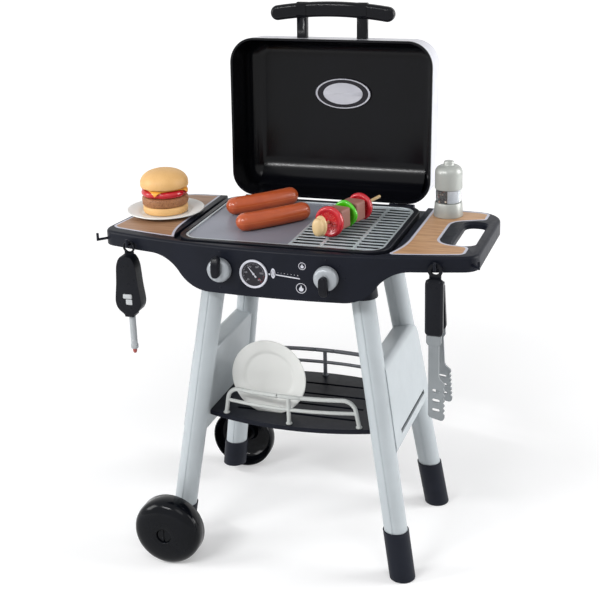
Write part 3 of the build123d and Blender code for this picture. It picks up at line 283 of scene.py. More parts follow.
@dataclass(frozen=True)
class Moulding:
    """Injection-moulded plastic: a little mottled, with a fine moulded grain."""

    name: str
    colour: str
    shade: str
    roughness: float = 0.4
    spread: float = 0.04
    grain_mm: float = 1.1
    grain_depth: float = 0.006
    metal: float = 0.0
    coat: float = 0.0
    specular: float = 0.4

    def material(self) -> bpy.types.Material:
        """Mixes the material."""
        mix = Recipe(self.name)
        cloud = mix.noise(38, detail=3)
        mix.link(mix.ramp(cloud, ((0.35, self.shade), (0.65, self.colour))), mix.shader.inputs["Base Color"])
        wear = mix.noise(9, detail=4, rough=0.6)
        rough = mix.span(wear, self.roughness - self.spread, self.roughness + self.spread, 0.3, 0.7)
        mix.link(rough, mix.shader.inputs["Roughness"])
        mix.set(Metallic=self.metal, Coat_Weight=self.coat, Coat_Roughness=0.08,
                Specular_IOR_Level=self.specular)
        mix.relief(mix.noise(self.grain_mm, detail=1), self.grain_depth)
        return mix.material


@dataclass(frozen=True)
class PrintedWood:
    """Straight-grained wood print: long streaks, darker bands and fine pores."""

    name: str
    light: str
    middle: str
    dark: str
    pore: str = "#6b4a2f"
    lean: float = 1.5

    def material(self) -> bpy.types.Material:
        """Mixes the material."""
        mix = Recipe(self.name)
        bands = mix.noise(5.5, detail=3, rough=0.55, warp=0.3, at=mix.stretched((0.1, 1, 1), self.lean))
        body = mix.ramp(bands, ((0.28, self.dark), (0.46, self.middle), (0.7, self.light)))
        streaks = mix.noise(1.1, detail=4, rough=0.7, at=mix.stretched((0.035, 1, 1), self.lean))
        lined = mix.blend(mix.span(streaks, 0.0, 0.4, 0.5, 0.75), body, self.dark)
        pores = mix.noise(0.6, detail=2, at=mix.stretched((0.06, 1, 1), self.lean))
        tinted = mix.blend(mix.span(pores, 0.0, 0.22, 0.6, 0.75), lined, self.pore)
        mix.link(tinted, mix.shader.inputs["Base Color"])
        mix.set(Specular_IOR_Level=0.35, Coat_Weight=0.15, Coat_Roughness=0.35)
        mix.link(mix.span(streaks, 0.42, 0.56), mix.shader.inputs["Roughness"])
        mix.relief(streaks, 0.03)
        return mix.material


@dataclass(frozen=True)
class Crumb:
    """Baked or minced surface: specks of two tones over a body colour, raised by their grain."""

    name: str
    light: str
    middle: str
    dark: str
    grain_mm: float
    depth_mm: float
    roughness: float = 0.55
    speck_share: float = 0.5

    def material(self) -> bpy.types.Material:
        """Mixes the material."""
        mix = Recipe(self.name)
        cloud = mix.ramp(mix.noise(22, detail=3), ((0.35, self.middle), (0.7, self.light)))
        grain = mix.noise(self.grain_mm, detail=3, rough=0.65)
        spots = mix.span(grain, 0.0, self.speck_share * 2, 0.52, 0.66)
        mix.link(mix.blend(spots, cloud, self.dark), mix.shader.inputs["Base Color"])
        mix.set(Roughness=self.roughness, Specular_IOR_Level=0.35)
        mix.relief(grain, self.depth_mm)
        return mix.material


@dataclass(frozen=True)
class Peppercorns:
    """Whole corns packed behind the window: near-black gaps painted as the shade between the corns, with
    dark, red, tan and white corns.
    """

    name: str = "peppercorns"
    corn_mm: float = 4.2
    # Near-black painted shade that fills the gaps between the corns.
    painted_gap_shade: str = "#120c0f"
    hues: tuple[Stop, ...] = ((0.0, "#2b1a1c"), (0.34, "#2b1a1c"), (0.36, "#8e3a2c"), (0.55, "#8e3a2c"),
                              (0.57, "#3a2320"), (0.72, "#3a2320"), (0.74, "#c98a6c"), (0.9, "#e6c9b4"))

    def material(self) -> bpy.types.Material:
        """Mixes the material."""
        mix = Recipe(self.name)
        corns = mix.node("ShaderNodeTexVoronoi", feature="F1")
        corns.inputs["Scale"].default_value = 1 / (self.corn_mm * MM)
        mix.link(mix.place, corns.inputs["Vector"])
        pick = mix.node("ShaderNodeSeparateColor")
        mix.link(corns.outputs["Color"], pick.inputs["Color"])
        hues = mix.ramp(pick.outputs["Red"], self.hues)
        # Painted shade: the gaps between corns are darkened towards near-black.
        painted_gap_shade = mix.span(corns.outputs["Distance"], 0.0, 1.0, 0.3, 0.48)
        mix.link(mix.blend(painted_gap_shade, hues, self.painted_gap_shade), mix.shader.inputs["Base Color"])
        mix.set(Roughness=0.45, Specular_IOR_Level=0.3)
        mix.relief(mix.span(corns.outputs["Distance"], 1.0, 0.0, 0.0, 0.5), 0.8)
        return mix.material


@dataclass(frozen=True)
class SausageSkin:
    """Glossy orange-brown skin with a faint mould line at mid height, drawn as a lighter band: a real mould
    line whose lightness is a painted highlight for the light its thin ridge catches.
    """

    name: str = "sausage_skin"
    colour: str = "#b8552b"
    shade: str = "#b04f29"
    # Lighter colour of the mould line: a painted highlight in place of the light on its ridge.
    line: str = "#cb7a50"
    seam_highlight_height: float = 0.4778

    def material(self) -> bpy.types.Material:
        """Mixes the material."""
        mix = Recipe(self.name)
        body = mix.ramp(mix.noise(16, detail=3), ((0.35, self.shade), (0.65, self.colour)))
        split = mix.node("ShaderNodeSeparateXYZ")
        mix.link(mix.place, split.inputs["Vector"])
        away = mix.reckon("ABSOLUTE", mix.reckon("SUBTRACT", split.outputs["Z"], self.seam_highlight_height))
        # Painted highlight along the mould line, lighter near its height.
        seam_highlight = mix.span(away, 0.5, 0.0, 0.1 * MM, 0.6 * MM)
        mix.link(mix.blend(seam_highlight, body, self.line), mix.shader.inputs["Base Color"])
        mix.set(Specular_IOR_Level=0.4, Coat_Weight=0.12, Coat_Roughness=0.1)
        mix.link(mix.span(mix.noise(6, detail=3), 0.26, 0.34), mix.shader.inputs["Roughness"])
        mix.relief(mix.noise(2.2, detail=2), 0.008)
        return mix.material


@dataclass(frozen=True)
class ClearPlastic:
    """Clear, slightly hazed plastic for the mill's window."""

    name: str = "clear_window"

    def material(self) -> bpy.types.Material:
        """Mixes the material."""
        mix = Recipe(self.name)
        tint = mix.ramp(mix.noise(12), ((0.3, "#eef2f3"), (0.7, "#f8fafa")))
        mix.link(tint, mix.shader.inputs["Base Color"])
        mix.set(Transmission_Weight=0.96, IOR=1.3, Specular_IOR_Level=0.4)
        mix.link(mix.span(mix.noise(5, detail=3), 0.02, 0.1), mix.shader.inputs["Roughness"])
        return mix.material


@dataclass(frozen=True)
class StudioFloor:
    """White floor that keeps the grill's shadow and glows more the farther it is, to meet the white behind.

    The lifts are strengths of the glow, near and far are metres from the grill.
    """

    name: str = "studio_floor"
    lift: float = 0.21
    far_lift: float = 0.75
    near: float = 0.5
    far: float = 2.6

    def material(self) -> bpy.types.Material:
        """Mixes the material."""
        mix = Recipe(self.name)
        mix.set(Base_Color=(0.84, 0.84, 0.845, 1), Roughness=0.9, Specular_IOR_Level=0.0)
        glow = mix.node("ShaderNodeEmission")
        apart = mix.node("ShaderNodeVectorMath", operation="LENGTH")
        mix.link(mix.place, apart.inputs[0])
        lift = mix.span(apart.outputs["Value"], self.lift, self.far_lift, self.near, self.far)
        mix.link(mix.reckon("MULTIPLY", background_rays(mix.tree), lift), glow.inputs["Strength"])
        both = mix.node("ShaderNodeAddShader")
        output = next(n for n in mix.tree.nodes if n.type == "OUTPUT_MATERIAL")
        mix.link(mix.shader.outputs["BSDF"], both.inputs[0])
        mix.link(glow.outputs["Emission"], both.inputs[1])
        mix.link(both.outputs["Shader"], output.inputs["Surface"])
        return mix.material


class Finish(Enum):
    """Every finish on the grill. A member's value is the recipe."""

    DECK_BLACK = Moulding("deck_black", "#12151f", "#0f121b", roughness=0.42, specular=0.13)
    FOOT_BLACK = Moulding("foot_black", "#1c1f28", "#181b24", roughness=0.48, specular=0.13)
    GLOSS_BLACK = Moulding("gloss_black", "#0c0d12", "#0a0b0f", roughness=0.2, spread=0.02, specular=0.16,
                           grain_depth=0.002)
    WHEEL_BLACK = Moulding("wheel_black", "#0c0e13", "#0a0c10", roughness=0.14, spread=0.02, specular=0.13,
                           grain_depth=0.0015)
    LID_BLACK = Moulding("lid_black", "#0b0c11", "#090a0e", roughness=0.19, spread=0.015, specular=0.17)
    TUB_BLACK = Moulding("tub_black", "#14161d", "#101218", roughness=0.35, specular=0.14)
    TOOL_BLACK = Moulding("tool_black", "#0e1017", "#0b0d13", roughness=0.3, specular=0.14)
    CART_GREY = Moulding("cart_grey", "#b9c0c4", "#b5bcc0", roughness=0.38, specular=0.25)
    LID_GREY = Moulding("lid_grey", "#d5d6dd", "#cdced6", roughness=0.33, specular=0.35)
    RAIL_GREY = Moulding("rail_grey", "#bcbfbd", "#b6b9b7", roughness=0.3, specular=0.25)
    # Rear rail: the front rail's grey painted darker, as painted shade for a rail that stands in shadow.
    RAIL_PAINTED_SHADE = Moulding("rail_grey_painted_shade", "#6f7177", "#66686e", roughness=0.33)
    BORDER = Moulding("border_pale", "#c6c7d4", "#bfc0cd", roughness=0.35, specular=0.3)
    # Griddle and grate are one silver plastic: the griddle's darker colour is painted shade, the grate's
    # lighter colour is painted highlight.
    GRIDDLE_PAINTED_SHADE = Moulding("griddle_silver_painted_shade", "#8a8d99", "#878a96", roughness=0.36, spread=0.015, metal=0.15,
                       specular=0.2)
    GRATE_PAINTED_HIGHLIGHT = Moulding("grate_silver_painted_highlight", "#b9c2c6", "#b3bcc0", roughness=0.3, spread=0.02, metal=0.2,
                     grain_depth=0.002)
    KNOB_SILVER = Moulding("knob_silver", "#a2a7ac", "#9da2a7", roughness=0.34, spread=0.02, metal=0.2,
                           specular=0.3, grain_depth=0.002)
    MILL_SILVER = Moulding("mill_silver", "#adb0ac", "#aaada9", roughness=0.36, spread=0.02, metal=0.25,
                           specular=0.3, grain_depth=0.001)
    PRINT_WHITE = Moulding("print_white", "#cfd0d8", "#c5c6d0", roughness=0.4, specular=0.2)
    PRINT_DIM = Moulding("print_dim", "#9a99a0", "#8f8e95", roughness=0.4, specular=0.2)
    PRINT_RED = Moulding("print_red", "#9a2530", "#8a1f29", roughness=0.4, specular=0.2)
    DIAL_DARK = Moulding("dial_dark", "#2a292f", "#242328", roughness=0.4, specular=0.15)
    STEEL = Moulding("steel_pin", "#8f9196", "#84868b", roughness=0.3, metal=1.0)
    BUTTON_GREY = Moulding("button_grey", "#b9bcbe", "#acafb1", roughness=0.35)
    TUBE_GREY = Moulding("tube_grey", "#a9adb0", "#9da2a5", roughness=0.35, metal=0.2)
    TONG_GREY = Moulding("tong_grey", "#878c8f", "#7f8487", roughness=0.33, metal=0.2)
    TIP_RED = Moulding("tip_red", "#a5524c", "#97463f", roughness=0.45)
    TOMATO = Moulding("tomato_red", "#c81d2c", "#ba1926", roughness=0.16, coat=0.3, grain_depth=0.002)
    TOMATO_FLESH = Moulding("tomato_flesh", "#d4503f", "#c73a34", roughness=0.25, coat=0.3)
    PEPPER = Moulding("pepper_green", "#4cc414", "#3fae10", roughness=0.18, coat=0.3, grain_depth=0.002)
    CHEESE = Moulding("cheese_yellow", "#eba63f", "#e59c36", roughness=0.38, specular=0.3)
    MEAT = Moulding("meat_brown", "#96695d", "#8d6056", roughness=0.45, specular=0.3, grain_mm=1.6,
                    grain_depth=0.04)
    PLATE = Moulding("plate_white", "#e6e7e4", "#e4e5e2", roughness=0.3, spread=0.01, specular=0.25,
                     grain_depth=0.0005)
    STICK = Moulding("stick_tan", "#d9bc8c", "#d0b181", roughness=0.34)
    PEPPERCORN = Peppercorns()
    BUN = Crumb("bun_crust", "#e4b87c", "#dcae70", "#cf9c5c", 1.6, 0.05, roughness=0.48, speck_share=0.12)
    PATTY = Crumb("patty_mince", "#b07a52", "#9a6a46", "#6a4029", 1.7, 0.45, roughness=0.5)
    WOOD_LEFT = PrintedWood("wood_left", "#a98466", "#9c7658", "#876347")
    WOOD_RIGHT = PrintedWood("wood_right", "#c9a27c", "#bb9069", "#a27a56")
    SAUSAGE = SausageSkin()
    CLEAR = ClearPlastic()
    FLOOR = StudioFloor()


class Paints:
    """Makes each finish's material once."""

    def __init__(self) -> None:
        """Starts with no material made."""
        self.made: dict[Finish, bpy.types.Material] = {}

    def of(self, finish: Finish) -> bpy.types.Material:
        """The material of a finish."""
        if finish not in self.made:
            self.made[finish] = finish.value.material()
        return self.made[finish]


PAINTS = Paints()


class Blank:
    """A mesh being shaped into one piece, in millimetres in the cart's own frame."""

    def __init__(self) -> None:
        """Starts with an empty mesh."""
        self.bm = bmesh.new()

    @classmethod
    def lathe(cls, profile: Sequence[Point], steps: int = 64) -> "Blank":
        """Turns a profile about the z axis.

        Args:
            profile: Radius and height of each point, from one end to the other.
            steps: Facets round the axis.

        Returns:
            The turned blank.
        """
        blank = cls()
        ring = [blank.bm.verts.new((r, 0, h)) for r, h in profile]
        edges = [blank.bm.edges.new(pair) for pair in zip(ring, ring[1:])]
        bmesh.ops.spin(blank.bm, geom=ring + edges, axis=(0, 0, 1), cent=(0, 0, 0), angle=math.tau,
                       steps=steps, use_merge=True)
        return blank.merged()

    @classmethod
    def disc(cls, radius: float, low: float, high: float, steps: int = 64) -> "Blank":
        """A flat disc about the z axis."""
        return cls.lathe([(0, low), (radius, low), (radius, high), (0, high)], steps)

    @classmethod
    def plate(cls, outline: Sequence[Point], low: float, high: float,
              holes: Sequence[Sequence[Point]] = ()) -> "Blank":
        """Raises a flat outline in x and y between two heights.

        Args:
            outline: Corners in order.
            low: Bottom height.
            high: Top height.
            holes: Outlines of its holes.

        Returns:
            The raised blank.
        """
        blank = cls()
        edges = []
        for route in (outline, *holes):
            corners = [blank.bm.verts.new((x, y, low)) for x, y in route]
            edges += [blank.bm.edges.new(pair) for pair in zip(corners, corners[1:] + corners[:1])]
        if not holes:
            blank.bm.faces.new(corners)
        elif len(holes) == 1:
            bmesh.ops.bridge_loops(blank.bm, edges=edges)
        else:
            bmesh.ops.triangle_fill(blank.bm, edges=edges, use_beauty=True)
        raised = bmesh.ops.extrude_face_region(blank.bm, geom=blank.bm.faces[:])
        tops = [v for v in raised["geom"] if isinstance(v, bmesh.types.BMVert)]
        bmesh.ops.translate(blank.bm, verts=tops, vec=(0, 0, high - low))
        return blank.merged()

    @classmethod
    def box(cls, size: Sequence[float], centre: Sequence[float] = (0, 0, 0)) -> "Blank":
        """A block of a size about a centre."""
        blank = cls()
        bmesh.ops.create_cube(blank.bm, size=1.0)
        return blank.moved(shift(*centre) @ Matrix.Diagonal((*size, 1)))

    @classmethod
    def ball(cls, size: Sequence[float], centre: Sequence[float], rings: int) -> "Blank":
        """An ellipsoid of given radii about a centre."""
        blank = cls()
        bmesh.ops.create_uvsphere(blank.bm, u_segments=rings * 2, v_segments=rings, radius=1.0)
        return blank.moved(shift(*centre) @ Matrix.Diagonal((*size, 1)))

    @classmethod
    def rod(cls, points: Sequence[Sequence[float]], radius: float, bend: float, sides: int = 4) -> "Blank":
        """A round rod through points, its corners rounded by a bend.

        Args:
            points: Corners of the route.
            radius: Radius of the rod.
            bend: Share of the shorter run that a rounded corner takes.
            sides: Resolution of the rod's section.

        Returns:
            The rod.
        """
        curve = bpy.data.curves.new("route", "CURVE")
        curve.dimensions = "3D"
        curve.bevel_depth = radius
        curve.bevel_resolution = sides
        curve.use_fill_caps = True
        spline = curve.splines.new("BEZIER")
        route = [Vector(p) for p in points]
        spline.bezier_points.add(len(route) * 2 - 3)
        knots = [route[0]]
        for before, corner, after in zip(route, route[1:], route[2:]):
            reach = bend * min((corner - before).length, (after - corner).length)
            knots.append(corner + (before - corner).normalized() * reach)
            knots.append(corner + (after - corner).normalized() * reach)
        knots.append(route[-1])
        for place, (spot, knot) in enumerate(zip(knots, spline.bezier_points)):
            knot.co = spot
            corner = route[(place + 1) // 2]
            toward = spot.lerp(corner, 0.55)
            beside = knots[max(place - 1, 0) if place % 2 else min(place + 1, len(knots) - 1)]
            along = spot.lerp(beside, 0.33)
            knot.handle_left, knot.handle_right = (along, toward) if place % 2 else (toward, along)
        holder = bpy.data.objects.new("route", curve)
        mesh = bpy.data.meshes.new_from_object(holder)
        blank = cls()
        blank.bm.from_mesh(mesh)
        bpy.data.objects.remove(holder)
        return blank.merged()

    @classmethod
    def of_node(cls, node: str) -> "Blank":
        """A merged copy of a CAD node, in millimetres in the cart's own frame."""
        blank = cls()
        blank.bm.from_mesh(frame["nodes"][node].data)
        blank.moved(TO_RECORD.inverted())
        bmesh.ops.remove_doubles(blank.bm, verts=blank.bm.verts, dist=0.002)
        bmesh.ops.dissolve_limit(blank.bm, angle_limit=math.radians(0.6), verts=blank.bm.verts,
                                 edges=blank.bm.edges)
        return blank

    def merged(self) -> "Blank":
        """Merges doubles and turns the faces outwards."""
        bmesh.ops.remove_doubles(self.bm, verts=self.bm.verts, dist=0.001)
        bmesh.ops.recalc_face_normals(self.bm, faces=self.bm.faces)
        return self

    def moved(self, matrix: Matrix) -> "Blank":
        """Moves the whole blank by a matrix."""
        bmesh.ops.transform(self.bm, matrix=matrix, verts=self.bm.verts)
        return self

    def shaped(self, change: Callable[[Vector], Vector]) -> "Blank":
        """Moves each vertex to where a function puts it."""
        for vert in self.bm.verts:
            vert.co = change(vert.co)
        return self

    def divided(self, cuts: int) -> "Blank":
        """Cuts every edge into more pieces."""
        bmesh.ops.subdivide_edges(self.bm, edges=self.bm.edges, cuts=cuts, use_grid_fill=True)
        return self

    def bevelled(self, width: float, segments: int = 3, angle: float = 35.0) -> "Blank":
        """Rounds every edge sharper than an angle.

        Args:
            width: Width of the rounding.
            segments: Facets across it.
            angle: Least angle in degrees.

        Returns:
            The blank itself.
        """
        least = math.radians(angle)
        sharp = [e for e in self.bm.edges if len(e.link_faces) == 2 and e.calc_face_angle() > least]
        bmesh.ops.bevel(self.bm, geom=sharp, offset=width, segments=segments, profile=0.5, affect="EDGES",
                        clamp_overlap=True, material=-1)
        return self

    def joined(self, *others: "Blank") -> "Blank":
        """Takes the geometry of other blanks into this one."""
        for other in others:
            mesh = bpy.data.meshes.new("part")
            other.bm.to_mesh(mesh)
            self.bm.from_mesh(mesh)
            bpy.data.meshes.remove(mesh)
        return self

    def finished(self, name: str, finish: Finish, node: str, stands: bool = True, sharp: float = 38.0,
                 edge: float = 0.0, smooth: int = 0) -> bpy.types.Object:
        """Makes the piece: places it in the record's frame, dresses it and gives it to its body.

        Args:
            name: The piece's name.
            finish: Its finish.
            node: The CAD node that gives it its body.
            stands: Whether it also stands for that node.
            sharp: Angle in degrees past which an edge is drawn sharp.
            edge: Width in millimetres of a Bevel modifier on sharp edges, or nought.
            smooth: Levels of a Subdivision Surface modifier.

        Returns:
            The piece.
        """
        self.moved(TO_RECORD)
        mesh = bpy.data.meshes.new(name)
        self.bm.to_mesh(mesh)
        self.bm.free()
        mesh.materials.clear()
        mesh.materials.append(PAINTS.of(finish))
        for polygon in mesh.polygons:
            polygon.material_index = 0
        mesh.shade_smooth()
        mesh.set_sharp_from_angle(angle=math.radians(sharp))
        piece = bpy.data.objects.new(name, mesh)
        bpy.context.scene.collection.objects.link(piece)
        if edge:
            round_off = piece.modifiers.new("edges", "BEVEL")
            round_off.width = edge * MM
            round_off.segments = 2
            round_off.limit_method = "ANGLE"
            round_off.angle_limit = math.radians(sharp)
            round_off.harden_normals = False
        if smooth:
            surface = piece.modifiers.new("surface", "SUBSURF")
            surface.levels = surface.render_levels = smooth
        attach(piece, body_of(node))
        if stands:
            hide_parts(node)
        LOG.info("%s rides on %s", name, body_of(node))
        return piece


def body_of(node: str) -> str:
    """The body that a CAD node belongs to."""
    groups = frame["record"]["behaviour"]["bodies"]
    return next(body for body, members in groups.items() if node in members)


def dress(node: str, finish: Finish) -> None:
    """Gives a CAD node its finish and leaves its mesh alone.

    Args:
        node: The node's name.
        finish: The finish.
    """
    held = frame["nodes"][node]
    held.data.materials.clear()
    held.data.materials.append(PAINTS.of(finish))
    LOG.info("%s keeps its CAD mesh", node)


def refine(node: str, finish: Finish, edge: float = 0.5, sharp: float = 30.0) -> bpy.types.Object:
    """Replaces a CAD node with a merged copy of it, smoothly shaded and with eased edges.

    Args:
        node: The node's name.
        finish: The finish.
        edge: Width of the eased edges in millimetres.
        sharp: Angle in degrees past which an edge is eased.

    Returns:
        The piece.
    """
    return Blank.of_node(node).finished(node + "_skin", finish, node, sharp=sharp, edge=edge)


def arc(centre: Point, radius: float, start: float, end: float, steps: int) -> list[Point]:
    """Points along an arc, with its angles in degrees."""
    angles = [math.radians(start + (end - start) * i / steps) for i in range(steps + 1)]
    return [(centre[0] + radius * math.cos(a), centre[1] + radius * math.sin(a)) for a in angles]


def flowing(points: Sequence[Point], steps: int = 5) -> list[Point]:
    """Rounds a route through points.

    Args:
        points: The points that it passes.
        steps: Pieces between two of them.

    Returns:
        Points along a smooth line.
    """
    padded = [points[0], *points, points[-1]]
    line = []
    for before, start, end, after in zip(padded, padded[1:], padded[2:], padded[3:]):
        for i in range(steps):
            t = i / steps
            weights = (-t ** 3 + 2 * t ** 2 - t, 3 * t ** 3 - 5 * t ** 2 + 2, -3 * t ** 3 + 4 * t ** 2 + t,
                       t ** 3 - t ** 2)
            near = list(zip(weights, (before, start, end, after)))
            line.append(tuple(sum(w * p[k] for w, p in near) / 2 for k in (0, 1)))
    return [*line, points[-1]]


@dataclass
class Cart:
    """The parts that stand still: deck, firebox, legs, panels, tray and rails."""

    rail_radius: float = 3.0
    low_rail_radius: float = 2.5
    rail_top: float = 242.0
    rail_low: float = 223.0
    rail_half: float = 96.6
    rail_top_half: float = 90.0
    rail_low_half: float = 93.3
    rail_front: float = 85.0
    rail_bow: float = 11.8
    tray_top: float = 202.0
    seat_height: float = 2.0
    hoop_half: float = 133.8
    hoop_front: float = -98.3
    hoop_back: float = 92.3
    hoop_corner: float = 19.3
    hoop_wide: float = 3.0
    hoop_low: float = 463.0
    hoop_top: float = 467.0
    griddle_edge: float = 12.0
    griddle_low: float = 463.2
    griddle_top: float = 465.2
    bars: int = 16
    bar_start: float = -98.6
    bar_pitch: float = 11.95
    bar_wide: float = 4.0
    bar_deep: float = 1.2
    bar_top: float = 466.5
    ribs: tuple[float, float] = (54.0, 98.0)
    rib_wide: float = 4.0
    rib_deep: float = 2.4
    rib_middle_drop: float = 1.3
    overlap: float = 1.0

    def build(self) -> None:
        """Builds and dresses the cart."""
        refine("deck_shell", Finish.DECK_BLACK, edge=0.4)
        refine("firebox", Finish.TUB_BLACK, edge=0.8)
        self.cooking_plate()
        dress("left_inlay", Finish.WOOD_LEFT)
        dress("right_inlay", Finish.WOOD_RIGHT)
        dress("inlay_borders", Finish.BORDER)
        for side in ("left", "right"):
            for end in ("front", "rear"):
                refine(f"{side}_{end}_leg", Finish.CART_GREY, edge=0.15)
                refine(f"{side}_{end}_foot", Finish.FOOT_BLACK)
            refine(f"{side}_side_panel", Finish.CART_GREY)
        refine("lower_tray", Finish.DECK_BLACK, edge=0.8)
        self.rail("front_rail", -1, Finish.RAIL_GREY)
        # The rear rail takes the painted-shade copy of the rail grey.
        self.rail("rear_rail", 1, Finish.RAIL_PAINTED_SHADE)
        dress("hinge_pins", Finish.STEEL)

    def cooking_plate(self) -> None:
        """The silver plate, one silver plastic: a flat griddle painted darker as painted shade, and a hoop,
        bars and ribs painted brighter as painted highlight.
        """
        outer, inner = (self.rounded(self.hoop_corner + grow) for grow in (self.hoop_wide, 0.0))
        sheet = [point for point in inner if point[0] < 0]
        sheet += [(self.griddle_edge, self.hoop_front), (self.griddle_edge, self.hoop_back)]
        Blank.plate(sheet, self.griddle_low, self.griddle_top).finished(
            "griddle_sheet", Finish.GRIDDLE_PAINTED_SHADE, "cooking_plate", stands=False)
        grate = Blank.plate(outer, self.hoop_low, self.hoop_top, [inner]).bevelled(0.5, 2, 60)
        start = self.griddle_edge - self.overlap
        for i in range(self.bars):
            y = self.bar_start + self.bar_pitch * (i + 0.5)
            past = max(self.hoop_front + self.hoop_corner - y, y - self.hoop_back + self.hoop_corner, 0.0)
            reach = math.sqrt(max(self.hoop_corner ** 2 - past ** 2, 0.0))
            end = self.hoop_half - self.hoop_corner + reach + self.overlap / 2
            bar = Blank.box((end - start, self.bar_wide, self.bar_deep),
                            ((end + start) / 2, y, self.bar_top - self.bar_deep / 2))
            grate.joined(bar.bevelled(0.35, 2))
        for x in (self.griddle_edge + self.overlap, *self.ribs):
            rib = Blank.box((self.rib_wide, self.hoop_back - self.hoop_front, self.rib_deep),
                            (x, (self.hoop_back + self.hoop_front) / 2, self.bar_top - self.rib_middle_drop))
            grate.joined(rib.bevelled(0.4, 2))
        grate.finished("grate_bars", Finish.GRATE_PAINTED_HIGHLIGHT, "cooking_plate")

    def rounded(self, radius: float) -> list[Point]:
        """The hoop's outline with a corner radius, round the same corner centres."""
        x = self.hoop_half - self.hoop_corner
        front, back = self.hoop_front + self.hoop_corner, self.hoop_back - self.hoop_corner
        spots = ((x, back, 0), (-x, back, 90), (-x, front, 180), (x, front, 270))
        return [point for cx, cy, start in spots for point in arc((cx, cy), radius, start, start + 90, 10)]

    def line(self, end: int, half: float, height: float, count: int = 6) -> list[tuple[float, float, float]]:
        """Points of a bowed bar at a height.

        Args:
            end: Minus one for the front, one for the back.
            half: Half its length.
            height: The bar's height.
            count: How many runs.

        Returns:
            The points from left to right.
        """
        xs = [half * (2 * i / count - 1) for i in range(count + 1)]
        return [(x, end * (self.rail_front - self.rail_bow * (x / self.rail_half) ** 2), height) for x in xs]

    def rail(self, node: str, end: int, finish: Finish) -> None:
        """One rail: a top bar that bends down into its posts, a lower bar, a middle post and three seats.

        Args:
            node: The CAD node that it replaces.
            end: Minus one for the front, one for the back.
            finish: Its finish.
        """
        foot = self.tray_top + self.seat_height
        corner_y = end * (self.rail_front - self.rail_bow)
        middle_y = end * self.rail_front
        top = self.line(end, self.rail_top_half, self.rail_top)
        route = [(-self.rail_half, corner_y, foot), *top, (self.rail_half, corner_y, foot)]
        post = [(0, middle_y, foot), (0, middle_y, self.rail_top - 10), (0, middle_y, self.rail_top)]
        low = self.line(end, self.rail_low_half, self.rail_low)
        bars = Blank.rod(route, self.rail_radius, 0.5).joined(
            Blank.rod(low, self.low_rail_radius, 0.3), Blank.rod(post, self.rail_radius, 0.1))
        for x, y in ((-self.rail_half, corner_y), (0, middle_y), (self.rail_half, corner_y)):
            seat = Blank.lathe([(0, 0), (4.4, 0), (4.5, 0.4), (4.5, 1.5), (3.9, 2.1), (0, 2.1)], 32)
            bars.joined(seat.moved(shift(x, y, self.tray_top)))
        bars.finished(node + "_bars", finish, node)


@dataclass
class Wheels:
    """The two domed wheels and their bolts."""

    axle_x: float = -161.0
    axle_z: float = 49.0
    inner_face: float = 140.0
    radius: float = 49.0
    depth: float = 33.0
    wall: float = 3.0
    hub: float = 9.0
    bore: float = 5.05
    recess: float = 10.8
    recess_depth: float = 6.5
    tread: float = 13.0
    dome_power: float = 2.5
    rim_power: float = 4.4

    def build(self) -> None:
        """Builds both wheels and dresses the bolts."""
        for end, node in ((-1, "front_wheel"), (1, "rear_wheel")):
            place = shift(self.axle_x, end * self.inner_face, self.axle_z) @ turned(-90 * end, "X")
            Blank.lathe(self.profile(), 96).moved(place).finished(
                node + "_shell", Finish.WHEEL_BLACK, node, sharp=50)
        refine("wheel_bolts", Finish.WHEEL_BLACK, edge=0.4)

    def profile(self) -> list[Point]:
        """Outline of the wheel's wall, from the hub's bore round and back."""
        rises = [i / 12 for i in range(1, 11)] + [0.88, 0.925, 0.96, 0.982, 0.993]
        dome = [(self.radius, 1.0), (self.radius, self.tread)]
        dome += [(self.radius * (1 - t ** self.dome_power) ** (1 / self.rim_power),
                  self.tread + (self.depth - self.tread) * t) for t in rises]
        lip = [(self.recess + 1.2, self.depth), (self.recess + 0.4, self.depth - 0.2),
               (self.recess, self.depth - 0.9)]
        floor = self.depth - self.recess_depth
        inside = [(r - self.wall, h - self.wall) for r, h in reversed(dome[2:])
                  if r - self.wall > self.recess + 3]
        return [(self.bore, 0), (self.hub, 0), (self.hub, floor - self.wall),
                (self.recess + 2, floor - self.wall), *inside, (self.radius - self.wall, 1.0),
                (self.radius - 2.2, 0), (self.radius - 0.7, 0.1), *dome, *lip,
                (self.recess, floor), (self.bore, floor), (self.bore, 0)]


@dataclass
class Lid:
    """Lid in its open pose: pale cover, black liner, handle and the bare oval badge."""

    hinge_y: float = 119.2
    hinge_z: float = 459.0
    open_angle: float = 93.6
    badge_y: float = -28.5
    badge_top: float = 535.5
    badge_half: float = 43.0
    badge_half_height: float = 22.5

    def build(self) -> None:
        """Builds and dresses the lid."""
        refine("lid_cover", Finish.LID_GREY, edge=0.6)
        refine("lid_liner", Finish.LID_BLACK, edge=0.5)
        refine("lid_handle", Finish.GLOSS_BLACK, edge=0.5, sharp=35)
        self.badge()

    def opened(self) -> Matrix:
        """The move from shut to open."""
        pivot = shift(0, self.hinge_y, self.hinge_z)
        return pivot @ turned(-self.open_angle, "X") @ pivot.inverted()

    def badge(self) -> None:
        """A dark oval plate with a pale ring near its edge and a bare pale oval in its middle."""
        oval = Matrix.Diagonal((1, self.badge_half_height / self.badge_half, 1, 1))
        place = self.opened() @ shift(0, self.badge_y, self.badge_top) @ oval
        half = self.badge_half
        dark = [(0, 0), (half, 0), (half, -2.0), (half - 0.6, -2.5), (0, -2.5)]
        Blank.lathe(dark, 96).moved(place).finished("badge_plate", Finish.DIAL_DARK, "lid_badge")
        for name, outer, inner in (("badge_ring", 41.6, 38.8), ("badge_middle", 30.0, 0.0)):
            pale = [(inner, 0), (outer, 0), (outer, -2.6), (outer - 0.2, -2.75), (inner + 0.2, -2.75),
                    (inner, -2.6)]
            Blank.lathe(pale, 96).moved(place).finished(name, Finish.PRINT_WHITE, "lid_badge", stands=False)


